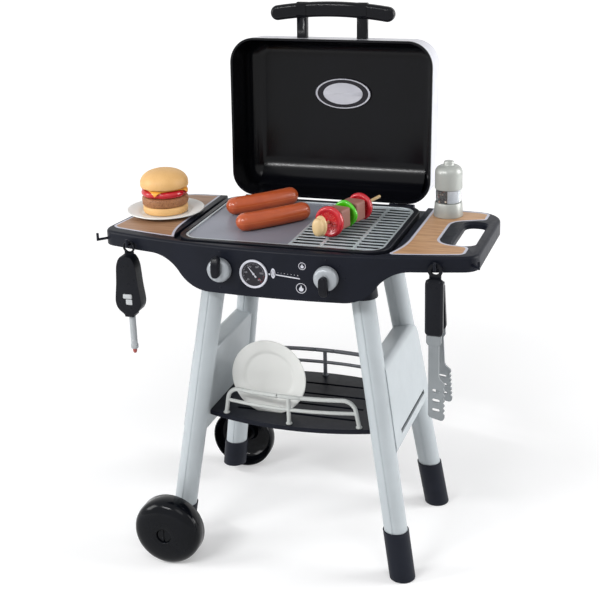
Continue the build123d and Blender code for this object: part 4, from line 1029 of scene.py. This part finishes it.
@dataclass
class Controls:
    """Knobs, thermometer and the small prints on the curved fascia."""

    knob_x: float = 72.4
    knob_z: float = 435.7
    knob_radius: float = 16.0
    knob_depth: float = 12.2
    gauge_x: float = -25.8
    gauge_z: float = 433.2
    gauge_radius: float = 19.3
    bow: float = 35.8
    half: float = 258.5
    front: float = 128.0
    print_low: float = -0.05
    print_high: float = 0.14
    needle_low: float = -1.05
    needle_high: float = -0.75
    ticks: int = 41
    first_angle: float = 225.0
    sweep: float = 270.0

    def face(self, x: float) -> float:
        """Y of the bowed fascia at x."""
        radius = (self.bow ** 2 + self.half ** 2) / (2 * self.bow)
        return -self.front + radius - math.sqrt(radius ** 2 - x ** 2)

    def upright(self, x: float, y: float, z: float) -> Matrix:
        """Stands a piece drawn flat in x and y on the fascia, its top to the front."""
        return shift(x, y, z) @ turned(90, "X")

    def build(self) -> None:
        """Builds the knobs, the thermometer and the prints."""
        for side, name in ((-1, "left"), (1, "right")):
            self.knob(side, name)
        self.gauge()
        self.prints()
        self.bumps()

    def knob(self, side: int, name: str) -> None:
        """A silver dial with its curved black lever.

        Args:
            side: Minus one for the left.
            name: The side's name.
        """
        back = self.face(self.knob_x - self.knob_radius) - 0.6
        rim = arc((10.0, 5.5), 6.0, 0, 78, 10)
        dome = [(4, -3.5), (4, 0.2), (15.4, 0.2), (16, 0.8), *rim, (8.0, 11.75), (4, 12.1), (0, 12.2)]
        place = self.upright(side * self.knob_x, back, self.knob_z)
        Blank.lathe(dome, 72).moved(place).finished(
            name + "_dial_dome", Finish.KNOB_SILVER, name + "_knob_dial")
        bar = Blank.box((11.6, 28, 9.5), (0, 7.5, 4.75)).divided(1).bevelled(2.4, 3, 60).divided(3)
        flip = turned(0 if side < 0 else 180, "Z")
        bar.shaped(self.hooked).moved(place @ flip @ shift(0, 0, self.knob_depth)).finished(
            name + "_lever_bar", Finish.TOOL_BLACK, name + "_knob_lever", smooth=1)

    def hooked(self, spot: Vector) -> Vector:
        """Rounds a lever's two ends and bends its long end back over the dial's rim."""
        rounding = 5.8
        x, y, z = spot
        end = 21.5 if y > 7.5 else -6.5
        run = abs(end - y)
        if run < rounding:
            x *= math.sqrt(max(1 - ((rounding - run) / rounding) ** 2, 0.02))
        z -= 0.022 * max(y - 6.0, 0) ** 2
        return Vector((x, y, z))

    def gauge(self) -> None:
        """Bezel, dark face, ticks, plain figures and a needle."""
        place = self.upright(self.gauge_x, self.face(self.gauge_x) + 1.2 - 3.4, self.gauge_z)
        r = self.gauge_radius
        ring = [(r - 3.0, -2.6), (r, -2.6), (r, -0.8), (r - 0.6, -0.1), (r - 1.4, 0.05), (r - 2.4, -0.25),
                (r - 3.0, -1.0), (r - 3.0, -2.6)]
        Blank.lathe(ring, 96).moved(place).finished("gauge_bezel", Finish.PRINT_WHITE, "gauge_dial")
        face = Blank.disc(r - 2.9, -2.2, -1.2)
        marks, red = Blank(), Blank()
        for i in range(self.ticks):
            length, width = (1.9, 0.42) if i % 5 == 0 else (1.0, 0.24)
            tick = Blank.box((length, width, 0.16), (14.8 - length / 2, 0, -1.15))
            tick.moved(turned(self.first_angle - i * self.sweep / (self.ticks - 1), "Z"))
            (red if i > 34 else marks).joined(tick)
        red.joined(Blank.disc(1.0, -1.2, -1.05, 24).moved(shift(7.6, -6.4, 0)))
        hand = [(-0.35, -1.5), (0.35, -1.5), (0.9, 0.6), (0.16, 12.2), (-0.16, 12.2), (-0.9, 0.6)]
        needle = Blank.plate(hand, self.needle_low, self.needle_high)
        tail = Blank.plate([(-0.9, -5.6), (0.9, -5.6), (1.1, -3.6), (0, -1.2), (-1.1, -3.6)],
                           self.needle_low, self.needle_high)
        needle.joined(Blank.lathe([(0, -1.1), (1.5, -1.1), (1.4, -0.5), (0, -0.35)], 32), tail)
        needle.moved(turned(38, "Z"))
        for name, blank, finish in (("gauge_disc", face, Finish.DIAL_DARK),
                                    ("gauge_ticks", marks, Finish.PRINT_DIM),
                                    ("gauge_red_marks", red, Finish.PRINT_RED),
                                    ("gauge_figures", self.figures(), Finish.PRINT_DIM),
                                    ("gauge_needle", needle, Finish.PRINT_WHITE)):
            blank.moved(place).finished(name, finish, "gauge_dial", stands=False)

    def figures(self) -> Blank:
        """Plain figures that stand round the thermometer's face."""
        group = Blank()
        names = ("50", "100", "150", "200", "250", "300")
        for i, figure in enumerate(names):
            text = bpy.data.curves.new("figure", "FONT")
            text.body = figure
            text.size = 3.1
            text.align_x = "CENTER"
            text.align_y = "CENTER"
            text.extrude = 0.06
            text.resolution_u = 3
            holder = bpy.data.objects.new("figure", text)
            mesh = bpy.data.meshes.new_from_object(holder)
            angle = math.radians(self.first_angle - i * self.sweep / (len(names) - 1))
            mesh.transform(shift(10.9 * math.cos(angle), 10.9 * math.sin(angle), -1.1))
            group.bm.from_mesh(mesh)
            bpy.data.objects.remove(holder)
        return group

    def on_fascia(self, blank: Blank) -> Blank:
        """Lays a print drawn in x and z, proud in minus y, on the curved fascia."""
        return blank.shaped(lambda v: Vector((v.x, self.face(v.x) - v.z, v.y)))

    def outline_ring(self, cx: float, cz: float, rx: float, rz: float, width: float) -> Blank:
        """An oval ring drawn flat, its hole open.

        Args:
            cx: Middle in x.
            cz: Middle in z.
            rx: Half width.
            rz: Half height.
            width: Width of the line.

        Returns:
            The ring.
        """
        low, high = self.print_low, self.print_high
        wall = [(rx - width, low), (rx, low), (rx, high), (rx - width, high), (rx - width, low)]
        ring = Blank.lathe(wall, 48)
        return ring.moved(shift(cx, cz, 0) @ Matrix.Diagonal((1, rz / rx, 1, 1)))

    def flame(self, cx: float, cz: float, size: float) -> Blank:
        """A plain flame shape drawn flat.

        Args:
            cx: Middle in x.
            cz: Middle in z.
            size: Height.

        Returns:
            The flame.
        """
        shape = ((0, -0.5), (0.24, -0.42), (0.36, -0.18), (0.3, 0.08), (0.17, 0.0), (0.1, 0.26), (0.0, 0.5),
                 (-0.1, 0.24), (-0.26, 0.06), (-0.36, -0.16), (-0.25, -0.42))
        outline = [(cx + x * size, cz + z * size) for x, z in shape]
        return Blank.plate(outline, self.print_low, self.print_high)

    def dot(self, cx: float, cz: float, radius: float, steps: int) -> Blank:
        """A round dot drawn flat."""
        return Blank.disc(radius, self.print_low, self.print_high, steps).moved(shift(cx, cz, 0))

    def prints(self) -> None:
        """The heat slider and the two flame marks."""
        drawn = Blank.plate([(4.6, 433.8), (36.6, 430.6), (36.6, 432.1), (4.6, 435.3)], self.print_low,
                            self.print_high)
        drawn.joined(self.outline_ring(0.8, 436.2, 3.0, 6.8, 0.9),
                     self.outline_ring(0.8, 436.2, 1.1, 4.8, 1.0), self.dot(-4.3, 434.6, 1.2, 24))
        drawn.joined(*(self.dot(7.5 + i * 4.4, 437.7 - i * 0.35, 0.3 + 0.04 * i, 16) for i in range(7)))
        for cx, cz, r in ((40.0, 448.7, 4.9), (38.0, 418.6, 6.9)):
            drawn.joined(self.outline_ring(cx, cz, r, r, 0.75), self.flame(cx, cz, r * 1.25))
        self.on_fascia(drawn).finished("fascia_prints", Finish.PRINT_WHITE, "gauge_dial", stands=False)

    def bumps(self) -> None:
        """Small round bumps that mark the knobs' settings."""
        spots = ((-72.5, 458.8), (-74.3, 409.5), (71.4, 458.7), (88.3, 451.4), (95.2, 434.4))
        group = Blank()
        for x, z in spots:
            group.joined(Blank.ball((1.6, 1.6, 0.9), (x, z, 0), 8))
        self.on_fascia(group).finished("setting_bumps", Finish.DECK_BLACK, "deck_shell", stands=False)


@dataclass
class Tools:
    """Hooks, the lighter and the tongs."""

    hook_x: float = 209.0
    front: float = 127.0
    top: float = 441.0
    bottom: float = 356.0
    half_width: float = 18.75
    thick: float = 18.0
    ring_plane: float = 111.6
    ring_height: float = 450.9
    parting: float = 112.6
    pivot: float = 434.0
    sprung: float = 12.5
    arm_gap: float = 3.05
    arm_thick: float = 3.0
    arm_left: float = -6.8
    blade_right: float = 14.8
    blade_top: float = 298.0
    blade_run: float = 42.0
    scallops: int = 6
    scallop_depth: float = 2.2
    slot_x: float = 3.4
    slot_radius: float = 2.2
    slot_half: float = 2.8
    slot_tilt: float = -8.0
    slot_heights: tuple[float, float, float] = (263.5, 277.0, 290.5)

    def build(self) -> None:
        """Builds the tools."""
        refine("tool_hooks", Finish.DECK_BLACK, edge=0.3)
        self.lighter()
        for grip in ("tongs_front_grip", "tongs_rear_grip"):
            refine(grip, Finish.TOOL_BLACK, edge=1.0, sharp=32)
        self.tong("tongs_front_arm", self.arm_gap, 0.0)
        self.tong("tongs_rear_arm", -self.arm_gap - self.arm_thick, self.sprung)
        dress("tongs_pivot_pin", Finish.STEEL)

    def tong(self, node: str, inside: float, angle: float) -> None:
        """One arm of the tongs: collar, shank, and a blade with three slots and a scalloped edge.

        Args:
            node: The CAD node that it replaces.
            inside: Where the arm starts, in front of the parting plane.
            angle: Angle in degrees by which it stands open.
        """
        left, steps = self.arm_left, self.scallops * 8
        waves = [(self.blade_right - self.scallop_depth * (1 - math.cos(math.tau * i / 8)) / 2,
                  self.blade_top - self.blade_run * i / steps) for i in range(steps + 1)]
        edge = [(-left, 368), (-left, 311), (8.2, 307), (12.2, 303), (14.3, 301), *waves, (14.5, 252.4),
                (13, 250), (10.4, 249), (left + 4.4, 252), (left + 1.4, 253.4), (left, 256.4), (left, 368)]
        oval = [*arc((self.slot_half, 0), self.slot_radius, -90, 90, 8),
                *arc((-self.slot_half, 0), self.slot_radius, 90, 270, 8)]
        tilt = turned(self.slot_tilt, "Z")
        turns = [tilt @ Vector((x, y, 0)) for x, y in oval]
        slots = [[(self.slot_x + v.x, height + v.y) for v in turns] for height in self.slot_heights]
        arm = Blank.plate(edge, inside, inside + self.arm_thick, slots)
        collar = [(-9.7, 366), (-9.7, 356.5), (-7.4, 353), (7.4, 353), (9.7, 356.5), (9.7, 366)]
        arm.joined(Blank.plate(collar, inside - 0.4, inside + self.arm_thick + 0.4))
        pivot = shift(0, 0, self.pivot)
        swing = pivot @ turned(angle, "X") @ pivot.inverted()
        arm.moved(shift(self.hook_x, -self.parting, 0) @ swing @ turned(90, "X")).finished(
            node + "_piece", Finish.TONG_GREY, node, sharp=50, edge=0.45)

    def lighter(self) -> None:
        """Rounded handle with its ring, the stepped thumb slide, the barrel and the red tip."""
        rise = self.top - self.bottom
        shares = ((0.0, 0.40), (0.06, 0.60), (0.16, 0.74), (0.3, 0.80), (0.45, 0.85), (0.64, 0.96),
                  (0.74, 1.0), (0.82, 0.94), (0.89, 0.76), (0.945, 0.46), (0.965, 0.36), (1.0, 0.33))
        right = flowing([(self.half_width * w, self.top - rise * d) for d, w in shares])
        outline = right + [(-x, z) for x, z in reversed(right)]
        body = Blank.plate(outline, 0, self.thick).bevelled(4.2, 5, 60)
        body.moved(shift(-self.hook_x, self.thick - self.front, 0) @ turned(90, "X"))
        ring = Blank.lathe([(6.1, -1.1), (6.5, -1.5), (8.1, -1.5), (8.5, -1.1), (8.5, 1.1), (8.1, 1.5),
                            (6.5, 1.5), (6.1, 1.1), (6.1, -1.1)], 48)
        ring.moved(shift(-self.hook_x, -self.ring_plane, self.ring_height) @ turned(90, "X"))
        neck = Blank.box((13, 3, 8.5), (-self.hook_x, -self.ring_plane, 440.6)).bevelled(0.6, 2)
        body.joined(ring, neck).finished("lighter_handle", Finish.TOOL_BLACK, "lighter_body", sharp=50)
        tab = Blank.box((13, 6.0, 6.4), (-self.hook_x, -self.front + 0.6, 385.8))
        step = Blank.box((9.5, 4.0, 8.0), (-self.hook_x + 1.4, -self.front + 1.6, 377.6))
        web = Blank.box((7.5, 3.0, 7), (-self.hook_x + 1.0, -self.front + 2.2, 381))
        tab.divided(1).bevelled(1.6, 4, 60).joined(step.bevelled(0.8, 3, 60), web).finished(
            "lighter_thumb_slide", Finish.BUTTON_GREY, "lighter_button")
        stem = shift(-self.hook_x, -self.front + self.thick / 2, 0)
        barrel = [(3.2, 356), (4.5, 356), (4.5, 322), (4.1, 321.6), (4.1, 320.4), (4.5, 320), (4.5, 313.6),
                  (5.2, 313), (5.2, 308.4), (4.6, 307.3), (3.2, 307.3), (3.2, 356)]
        Blank.lathe(barrel, 48).moved(stem).finished("lighter_barrel", Finish.TUBE_GREY, "lighter_tube")
        tip = [(0, 322), (2.9, 322), (2.9, 304), (2.6, 302), (1.7, 300.4), (0, 300)]
        Blank.lathe(tip, 32).moved(stem).finished("lighter_tip_piece", Finish.TIP_RED, "lighter_flame")


@dataclass
class Mill:
    """Pepper mill: base, clear window over peppercorns, and the turning head."""

    x: float = 185.5
    y: float = 75.3
    z: float = 466.2
    radius: float = 18.7
    foot_radius: float = 20.2
    base_top: float = 20.0
    window_top: float = 38.0
    window_radius: float = 17.5
    window_bore: float = 15.5

    def build(self) -> None:
        """Builds the mill."""
        place = shift(self.x, self.y, self.z)
        r, foot = self.radius, self.foot_radius
        low, high = self.base_top + 0.2, self.window_top - 0.2
        base = [(0, 0), (foot - 0.9, 0), (foot - 0.2, 0.3), (foot, 1.2), (r, 18.9), (r - 0.4, 19.7),
                (r - 1.2, self.base_top), (0, self.base_top)]
        clear = [(self.window_bore, self.base_top), (self.window_radius, self.base_top),
                 (self.window_radius, self.window_top), (self.window_bore, self.window_top),
                 (self.window_bore, self.base_top)]
        shoulder = arc((r - 10.0, 60.7), 10.0, 0, 90, 14)
        button = [(7.3, 70.8), (7.0, 71.4), (7.0, 74.6), (6.5, 76.0), (4.6, 76.7), (1.6, 76.6), (0, 76.2)]
        cap = [(0, 38.2), (r - 0.8, 38.2), (r, 39.0), *shoulder, *button]
        Blank.lathe(base, 96).moved(place).finished("mill_foot", Finish.MILL_SILVER, "mill_base")
        Blank.lathe(clear, 96).moved(place).finished("mill_clear_ring", Finish.CLEAR, "mill_window")
        Blank.disc(self.window_bore - 0.5, low, high).moved(place).finished(
            "mill_filling", Finish.PEPPERCORN, "mill_base", stands=False)
        Blank.lathe(cap, 96).moved(place).finished("mill_head_cap", Finish.MILL_SILVER, "mill_cap")
        self.sleeve(low, high).moved(place).finished(
            "mill_window_sleeve", Finish.LID_GREY, "mill_base", stands=False)

    def sleeve(self, low: float, high: float) -> Blank:
        """A pale sleeve that covers the right half of the window from inside.

        Args:
            low: Its lower end.
            high: Its upper end.

        Returns:
            The sleeve.
        """
        inner, outer = self.window_bore - 0.45, self.window_bore - 0.1
        wall = Blank.lathe([(inner, low), (outer, low), (outer, high), (inner, high), (inner, low)], 96)
        cut = bmesh.ops.bisect_plane(wall.bm, geom=wall.bm.verts[:] + wall.bm.edges[:] + wall.bm.faces[:],
                                     plane_co=(0, 0, 0), plane_no=(-0.98, -0.1, 0), clear_outer=True)
        rims = [e for e in cut["geom_cut"] if isinstance(e, bmesh.types.BMEdge)]
        bmesh.ops.edgenet_fill(wall.bm, edges=rims)
        return wall.merged()


@dataclass
class Plates:
    """The plate on the shelf and the plate in the rack."""

    radius: float = 54.5
    foot_rise: float = 6.0
    shelf_spot: tuple[float, float, float] = (-204.0, 3.0, 466.2)
    rack_x: float = -40.0
    groove_y: float = -53.01
    groove_z: float = 197.3
    lean: float = 3.0

    def profile(self) -> list[Point]:
        """Outline of a plate: foot, wall, wide rim and well."""
        r = self.radius
        return [(0, 0.0), (30.2, 0.0), (31.2, 0.3), (37.0, 2.2), (44, 3.4), (r - 1.0, 5.0), (r - 0.1, 5.5),
                (r, 6.2), (r - 0.5, 6.9), (r - 1.5, 6.9), (44, 5.5), (39.4, 4.6), (37.4, 4.0), (35.8, 3.0),
                (34.2, 2.2), (32.0, 2.0), (0, 2.0)]

    def build(self) -> None:
        """Builds both plates."""
        lean = math.radians(self.lean)
        y = self.groove_y + self.radius * math.sin(lean) + self.foot_rise * math.cos(lean)
        z = self.groove_z + self.radius * math.cos(lean)
        standing = shift(self.rack_x, y, z) @ turned(90 - self.lean, "X")
        for name, place, node in (("shelf_plate", shift(*self.shelf_spot), "burger_plate"),
                                  ("standing_plate", standing, "rack_plate")):
            Blank.lathe(self.profile(), 128).moved(place).finished(name, Finish.PLATE, node, sharp=60)


@dataclass
class Burger:
    """The burger's five loose pieces."""

    x: float = -204.0
    y: float = 3.0
    z: float = 468.4
    patty_z: float = 11.2
    tomato_z: float = 24.4
    cheese_z: float = 34.6
    crown_z: float = 36.8
    cheese_side: float = 54.0
    cheese_thick: float = 1.6
    drape_start: float = 29.5
    drape_radius: float = 5.0
    dome_radius: float = 33.8
    dome_rise: float = 19.4

    def place(self, height: float) -> Matrix:
        """Place of a piece at a height above the plate's well."""
        return shift(self.x, self.y, self.z + height)

    def build(self) -> None:
        """Builds the pieces from the bottom up."""
        base = [(0, 0), (27.5, 0), (30.1, 0.7), (31.3, 2.4), (31.5, 5.5), (31.4, 9.2), (30.9, 10.5),
                (29.9, 11), (0, 11)]
        Blank.lathe(base, 96).moved(self.place(0)).finished("bun_heel", Finish.BUN, "bun_base", sharp=60)
        self.patty()
        self.tomato()
        self.cheese()
        self.crown()

    def patty(self) -> None:
        """Rough disc of mince."""
        side = [(30.0, 0.3), (31.2, 1.3), (32.0, 3.2), (32.4, 6.5), (32.1, 9.8), (31.4, 11.8), (30.0, 12.8)]
        blank = Blank.lathe([(0, 0), (14, 0), (24, 0), *side, (24, 13), (14, 13), (0, 13)], 160).divided(1)

        def rough(v: Vector) -> Vector:
            """Pushes the side in and out by a fine noise."""
            reach = math.hypot(v.x, v.y)
            if reach < 20:
                return v
            push = 1 + 0.018 * noise.noise(v * 0.75) + 0.014 * noise.noise(v * 0.3)
            return Vector((v.x * push, v.y * push, v.z))

        blank.shaped(rough).moved(self.place(self.patty_z)).finished(
            "patty_disc", Finish.PATTY, "patty", sharp=60)

    def tomato(self) -> None:
        """Glossy slice with shallow dents where the cheese hangs over it."""
        side = arc((28.2, 5.0), 4.8, -80, 80, 12)
        blank = Blank.lathe([(0, 0), (14, 0), *side, (14, 10), (0, 10)], 128)

        def dented(v: Vector) -> Vector:
            """Draws the side in under the cheese's front corner and lets it swell beside it."""
            reach = math.hypot(v.x, v.y)
            if reach < 15:
                return v
            turn = math.degrees(math.atan2(v.y, v.x))
            pull = sum(2.2 * math.exp(-((turn - corner) / 15) ** 2) for corner in (-90, 0, 90, 180, -180))
            share = (reach - pull) / reach
            return Vector((v.x * share, v.y * share, v.z))

        blank.shaped(dented).moved(self.place(self.tomato_z)).finished(
            "tomato_disc", Finish.TOMATO, "tomato_slice", sharp=60)

    def cheese(self) -> None:
        """Thin square slice whose four corners hang down."""
        side, thick = self.cheese_side, self.cheese_thick
        blank = Blank.box((side, side, thick), (0, 0, thick / 2))
        bmesh.ops.subdivide_edges(blank.bm, edges=[e for e in blank.bm.edges if e.calc_length() > 10],
                                  cuts=23, use_grid_fill=True)

        def draped(v: Vector) -> Vector:
            """Bends what reaches past the tomato's side down against it."""
            reach = math.hypot(v.x, v.y)
            if reach <= self.drape_start:
                return v
            over = (reach - self.drape_start) / self.drape_radius
            angle = min(over, math.radians(80))
            rest = (over - angle) * self.drape_radius
            flat = self.drape_start + self.drape_radius * math.sin(angle) + rest * math.cos(angle)
            down = self.drape_radius * (1 - math.cos(angle)) + rest * math.sin(angle)
            share = flat / reach
            return Vector((v.x * share, v.y * share, v.z - down))

        blank.moved(turned(45, "Z")).shaped(draped).moved(self.place(self.cheese_z)).finished(
            "cheese_sheet", Finish.CHEESE, "cheese_slice", sharp=50)

    def crown(self) -> None:
        """Domed top half with a lip and fine bumps near its top."""
        r, brim = self.dome_radius, 5.0
        dome = [(0, 0.3), (24, 0.3), (30.3, 0.0), (33.2, 0.6), (r, 2.4), (r, brim)]
        dome += [(r * math.cos(a) ** 0.86, brim + self.dome_rise * math.sin(a) ** 0.95) for a in
                 (math.radians(d) for d in range(6, 90, 6))]
        blank = Blank.lathe([*dome, (0, brim + self.dome_rise)], 128).divided(1)

        def bumpy(v: Vector) -> Vector:
            """Raises fine bumps on the upper part."""
            share = min(max((v.z - 9) / 8, 0), 1)
            lift = 0.28 * share * max(noise.noise(v * 0.62), 0)
            return v + v.normalized() * lift

        blank.shaped(bumpy).moved(self.place(self.crown_z)).finished(
            "bun_lid", Finish.BUN, "bun_top", sharp=60)


@dataclass
class Sausages:
    """Two sausages on the griddle."""

    radius: float = 12.3
    half: float = 56.0
    bend: float = 3.0
    turn: float = 48.0
    height: float = 477.8

    def build(self) -> None:
        """Builds both sausages."""
        rim = self.half - self.radius
        cap = [(self.radius * math.cos(a), rim + self.radius * math.sin(a)) for a in
               (math.radians(d) for d in range(0, 90, 9))]
        body = [(self.radius, rim * (2 * i / 14 - 1)) for i in range(1, 14)]
        low = [(r, -s) for r, s in reversed(cap)]
        for node, x, y in (("rear_sausage", -73.4, 47.7), ("front_sausage", -33.0, -20.8)):
            blank = Blank.lathe([(0, -self.half), *low, *body, *cap, (0, self.half)], 48)
            blank.moved(turned(90, "Y"))
            blank.shaped(lambda v: Vector((v.x, v.y + self.bend * (v.x / self.half) ** 2, v.z)))
            blank.moved(shift(x, y, self.height) @ turned(self.turn, "Z")).finished(
                node + "_skin", Finish.SAUSAGE, node, smooth=1)


@dataclass
class Skewer:
    """Stick with tomato slices, meat and pepper."""

    x: float = 50.0
    y: float = -80.0
    z: float = 487.8
    heading: float = 75.5
    length: float = 157.0
    tomatoes: tuple[Point, Point] = ((24.0, 20.8), (103.0, 18.8))
    chambers: int = 7
    pepper_along: float = 63.0
    meat_along: tuple[float, float] = (44.0, 83.0)

    def place(self, along: float) -> Matrix:
        """Place of a piece drawn along z, at a distance along the stick."""
        turn = turned(self.heading, "Z") @ turned(90, "Y")
        return shift(self.x, self.y, self.z) @ turn @ shift(0, 0, along)

    def build(self) -> None:
        """Builds the skewer."""
        lobes = flowing([(0, -10.2), (5, -10.0), (9.6, -8.6), (12.2, -6.0), (11.6, -3.4), (10.9, -2.0),
                         (12.2, -0.6), (13.9, 2.4), (12.2, 5.2), (8, 6.6), (2.2, 6.75)])
        stick = Blank.lathe([*lobes, (2.2, self.length - 0.6), (1.7, self.length), (0, self.length)], 64)
        stick.shaped(lambda v: Vector((v.x, v.y * 0.65, v.z)) if v.z < 6.7 else v)
        stick.moved(self.place(0)).finished("skewer_rod", Finish.STICK, "skewer_stick")
        self.slices()
        self.pepper()
        self.meat()

    def slices(self) -> None:
        """Tomato slices with a rolled skin rim, and seeds raised on the faces."""
        skins, seeds = Blank(), Blank()
        pips = ((6.5, -9), (6.5, 9), (9.0, 0), (11.2, -9), (11.2, 9))
        step = 360 / self.chambers
        for along, radius in self.tomatoes:
            place = self.place(along)
            rim = [(r, h * 4.4 / 3.2) for r, h in arc((radius - 3.2, 0), 3.2, -90, 90, 12)]
            disc = [(0, -2.4), (13.4, -2.4), (14.2, -3.0), (radius - 4.8, -4.2), *rim, (radius - 4.8, 4.2),
                    (14.2, 3.0), (13.4, 2.4), (0, 2.4)]
            skins.joined(Blank.lathe(disc, 96).moved(place))
            for side in (-1, 1):
                for i in range(self.chambers):
                    for k, (reach, swing) in enumerate(pips):
                        seed = Blank.ball((1.25, 0.7, 0.55), (reach, 0, side * 2.5), 6)
                        seeds.joined(seed.moved(place @ turned(i * step + swing + k, "Z")))
                    web = Blank.box((8.5, 1.1, 0.8), (9.2, 0, side * 2.5)).bevelled(0.3, 2)
                    seeds.joined(web.moved(place @ turned((i + 0.5) * step, "Z")))
        skins.finished("tomato_rounds", Finish.TOMATO, "skewer_tomatoes", sharp=50)
        seeds.finished("tomato_seeds", Finish.TOMATO_FLESH, "skewer_tomatoes", stands=False)

    def pepper(self) -> None:
        """Pepper ring with a softly lobed outline."""
        rim = arc((15.6, 0), 2.9, -90, 90, 12)
        disc = [(0, -1.6), (11.5, -1.6), (12.6, -2.4), *rim, (12.6, 2.4), (11.5, 1.6), (0, 1.6)]
        blank = Blank.lathe(disc, 96)

        def lobed(v: Vector) -> Vector:
            """Swells the ring into four soft lobes."""
            share = 1 + 0.03 * math.cos(4 * math.atan2(v.y, v.x))
            return Vector((v.x * share, v.y * share, v.z))

        blank.shaped(lobed).moved(self.place(self.pepper_along)).finished(
            "pepper_round", Finish.PEPPER, "skewer_pepper", sharp=50)

    def meat(self) -> None:
        """Two blocks of meat with soft edges."""
        pair = Blank()
        for along in self.meat_along:
            cube = Blank.box((27, 27, 24)).bevelled(3.2, 4, 60).divided(1)
            cube.shaped(lambda v: v * (1 + 0.012 * noise.noise(v * 0.12)))
            pair.joined(cube.moved(self.place(along)))
        pair.finished("meat_cubes", Finish.MEAT, "skewer_meat", sharp=50)


@dataclass(frozen=True)
class SoftBox:
    """A rectangular lamp that faces the grill: place and size in metres, and power in watts."""

    name: str
    spot: tuple[float, float, float]
    wide: float
    tall: float
    power: float


@dataclass
class Studio:
    """Floor, soft lights, white surroundings and the photograph's camera, in metres and radians."""

    eye: tuple[float, float, float] = (0.5313, -1.5988, 0.9779)
    yaw: float = 0.329
    pitch: float = 0.359
    roll: float = -0.032
    lens: float = 76.566
    fill: float = 0.33
    key: float = 0.38
    key_width: float = 24.0
    key_from: tuple[float, float, float] = (0.5, -0.7, 1.0)
    aim: tuple[float, float, float] = (0.0, 0.0, 0.5)
    floor_half: float = 30.0
    boxes: tuple[SoftBox, ...] = (SoftBox("right_box", (2.1, 0.6, 1.0), 1.2, 1.4, 40.0),
                                  SoftBox("left_box", (-1.9, -1.0, 1.1), 0.8, 1.0, 23.0),
                                  SoftBox("top_strip", (-0.68, -1.65, 1.5), 0.9, 0.045, 19.0))

    def build(self) -> None:
        """Builds the studio."""
        self.camera()
        self.floor()
        self.world()
        self.lamps()

    def camera(self) -> None:
        """The camera that took the photograph."""
        ahead = Vector((-math.sin(self.yaw) * math.cos(self.pitch), math.cos(self.yaw) * math.cos(self.pitch),
                        -math.sin(self.pitch)))
        right = Vector((math.cos(self.yaw), math.sin(self.yaw), 0))
        up = right.cross(ahead)
        side = right * math.cos(self.roll) + up * math.sin(self.roll)
        top = up * math.cos(self.roll) - right * math.sin(self.roll)
        data = bpy.data.cameras.new("camera")
        data.lens = self.lens
        data.sensor_width = 36.0
        data.sensor_fit = "HORIZONTAL"
        data.clip_start = 0.05
        camera = bpy.data.objects.new("camera", data)
        turn = Matrix((side, top, -ahead)).transposed().to_4x4()
        camera.matrix_world = Matrix.Translation(self.eye) @ turn
        bpy.context.scene.collection.objects.link(camera)
        bpy.context.scene.camera = camera

    def floor(self) -> None:
        """A wide white floor."""
        grid = bmesh.new()
        bmesh.ops.create_grid(grid, x_segments=2, y_segments=2, size=self.floor_half)
        mesh = bpy.data.meshes.new("studio_floor")
        grid.to_mesh(mesh)
        grid.free()
        mesh.materials.append(PAINTS.of(Finish.FLOOR))
        floor = bpy.data.objects.new("studio_floor", mesh)
        bpy.context.scene.collection.objects.link(floor)

    def world(self) -> None:
        """Even white surroundings, at full strength where they are seen or reflected."""
        world = bpy.data.worlds.new("studio")
        world.use_nodes = True
        tree = world.node_tree
        back = tree.nodes["Background"]
        back.inputs["Color"].default_value = (1, 1, 1, 1)
        lift = tree.nodes.new("ShaderNodeMapRange")
        lift.inputs["To Min"].default_value = self.fill
        lift.inputs["To Max"].default_value = 1.0
        tree.links.new(background_rays(tree), lift.inputs["Value"])
        tree.links.new(lift.outputs["Result"], back.inputs["Strength"])
        bpy.context.scene.world = world

    def lamps(self) -> None:
        """A wide soft key, a soft box at each side, and a strip that draws the lid's long highlight."""
        sun = bpy.data.lights.new("key", "SUN")
        sun.energy = self.key
        sun.angle = math.radians(self.key_width)
        key = bpy.data.objects.new("key", sun)
        key.rotation_euler = Vector(self.key_from).to_track_quat("Z", "Y").to_euler()
        bpy.context.scene.collection.objects.link(key)
        for box in self.boxes:
            data = bpy.data.lights.new(box.name, "AREA")
            data.shape = "RECTANGLE"
            data.size = box.wide
            data.size_y = box.tall
            data.energy = box.power
            lamp = bpy.data.objects.new(box.name, data)
            facing = (Vector(box.spot) - Vector(self.aim)).to_track_quat("Z", "Y").to_matrix().to_4x4()
            lamp.matrix_world = shift(*box.spot) @ facing
            bpy.context.scene.collection.objects.link(lamp)


def main() -> None:
    """Builds the grill and its studio."""
    logging.basicConfig(level=logging.INFO, format="%(message)s")
    bpy.context.scene.view_settings.view_transform = "Standard"
    for assembly in (Cart(), Wheels(), Lid(), Controls(), Tools(), Mill(), Plates(), Burger(), Sausages(),
                     Skewer(), Studio()):
        LOG.info("building %s", type(assembly).__name__)
        assembly.build()


if __name__ == "__main__":
    main()
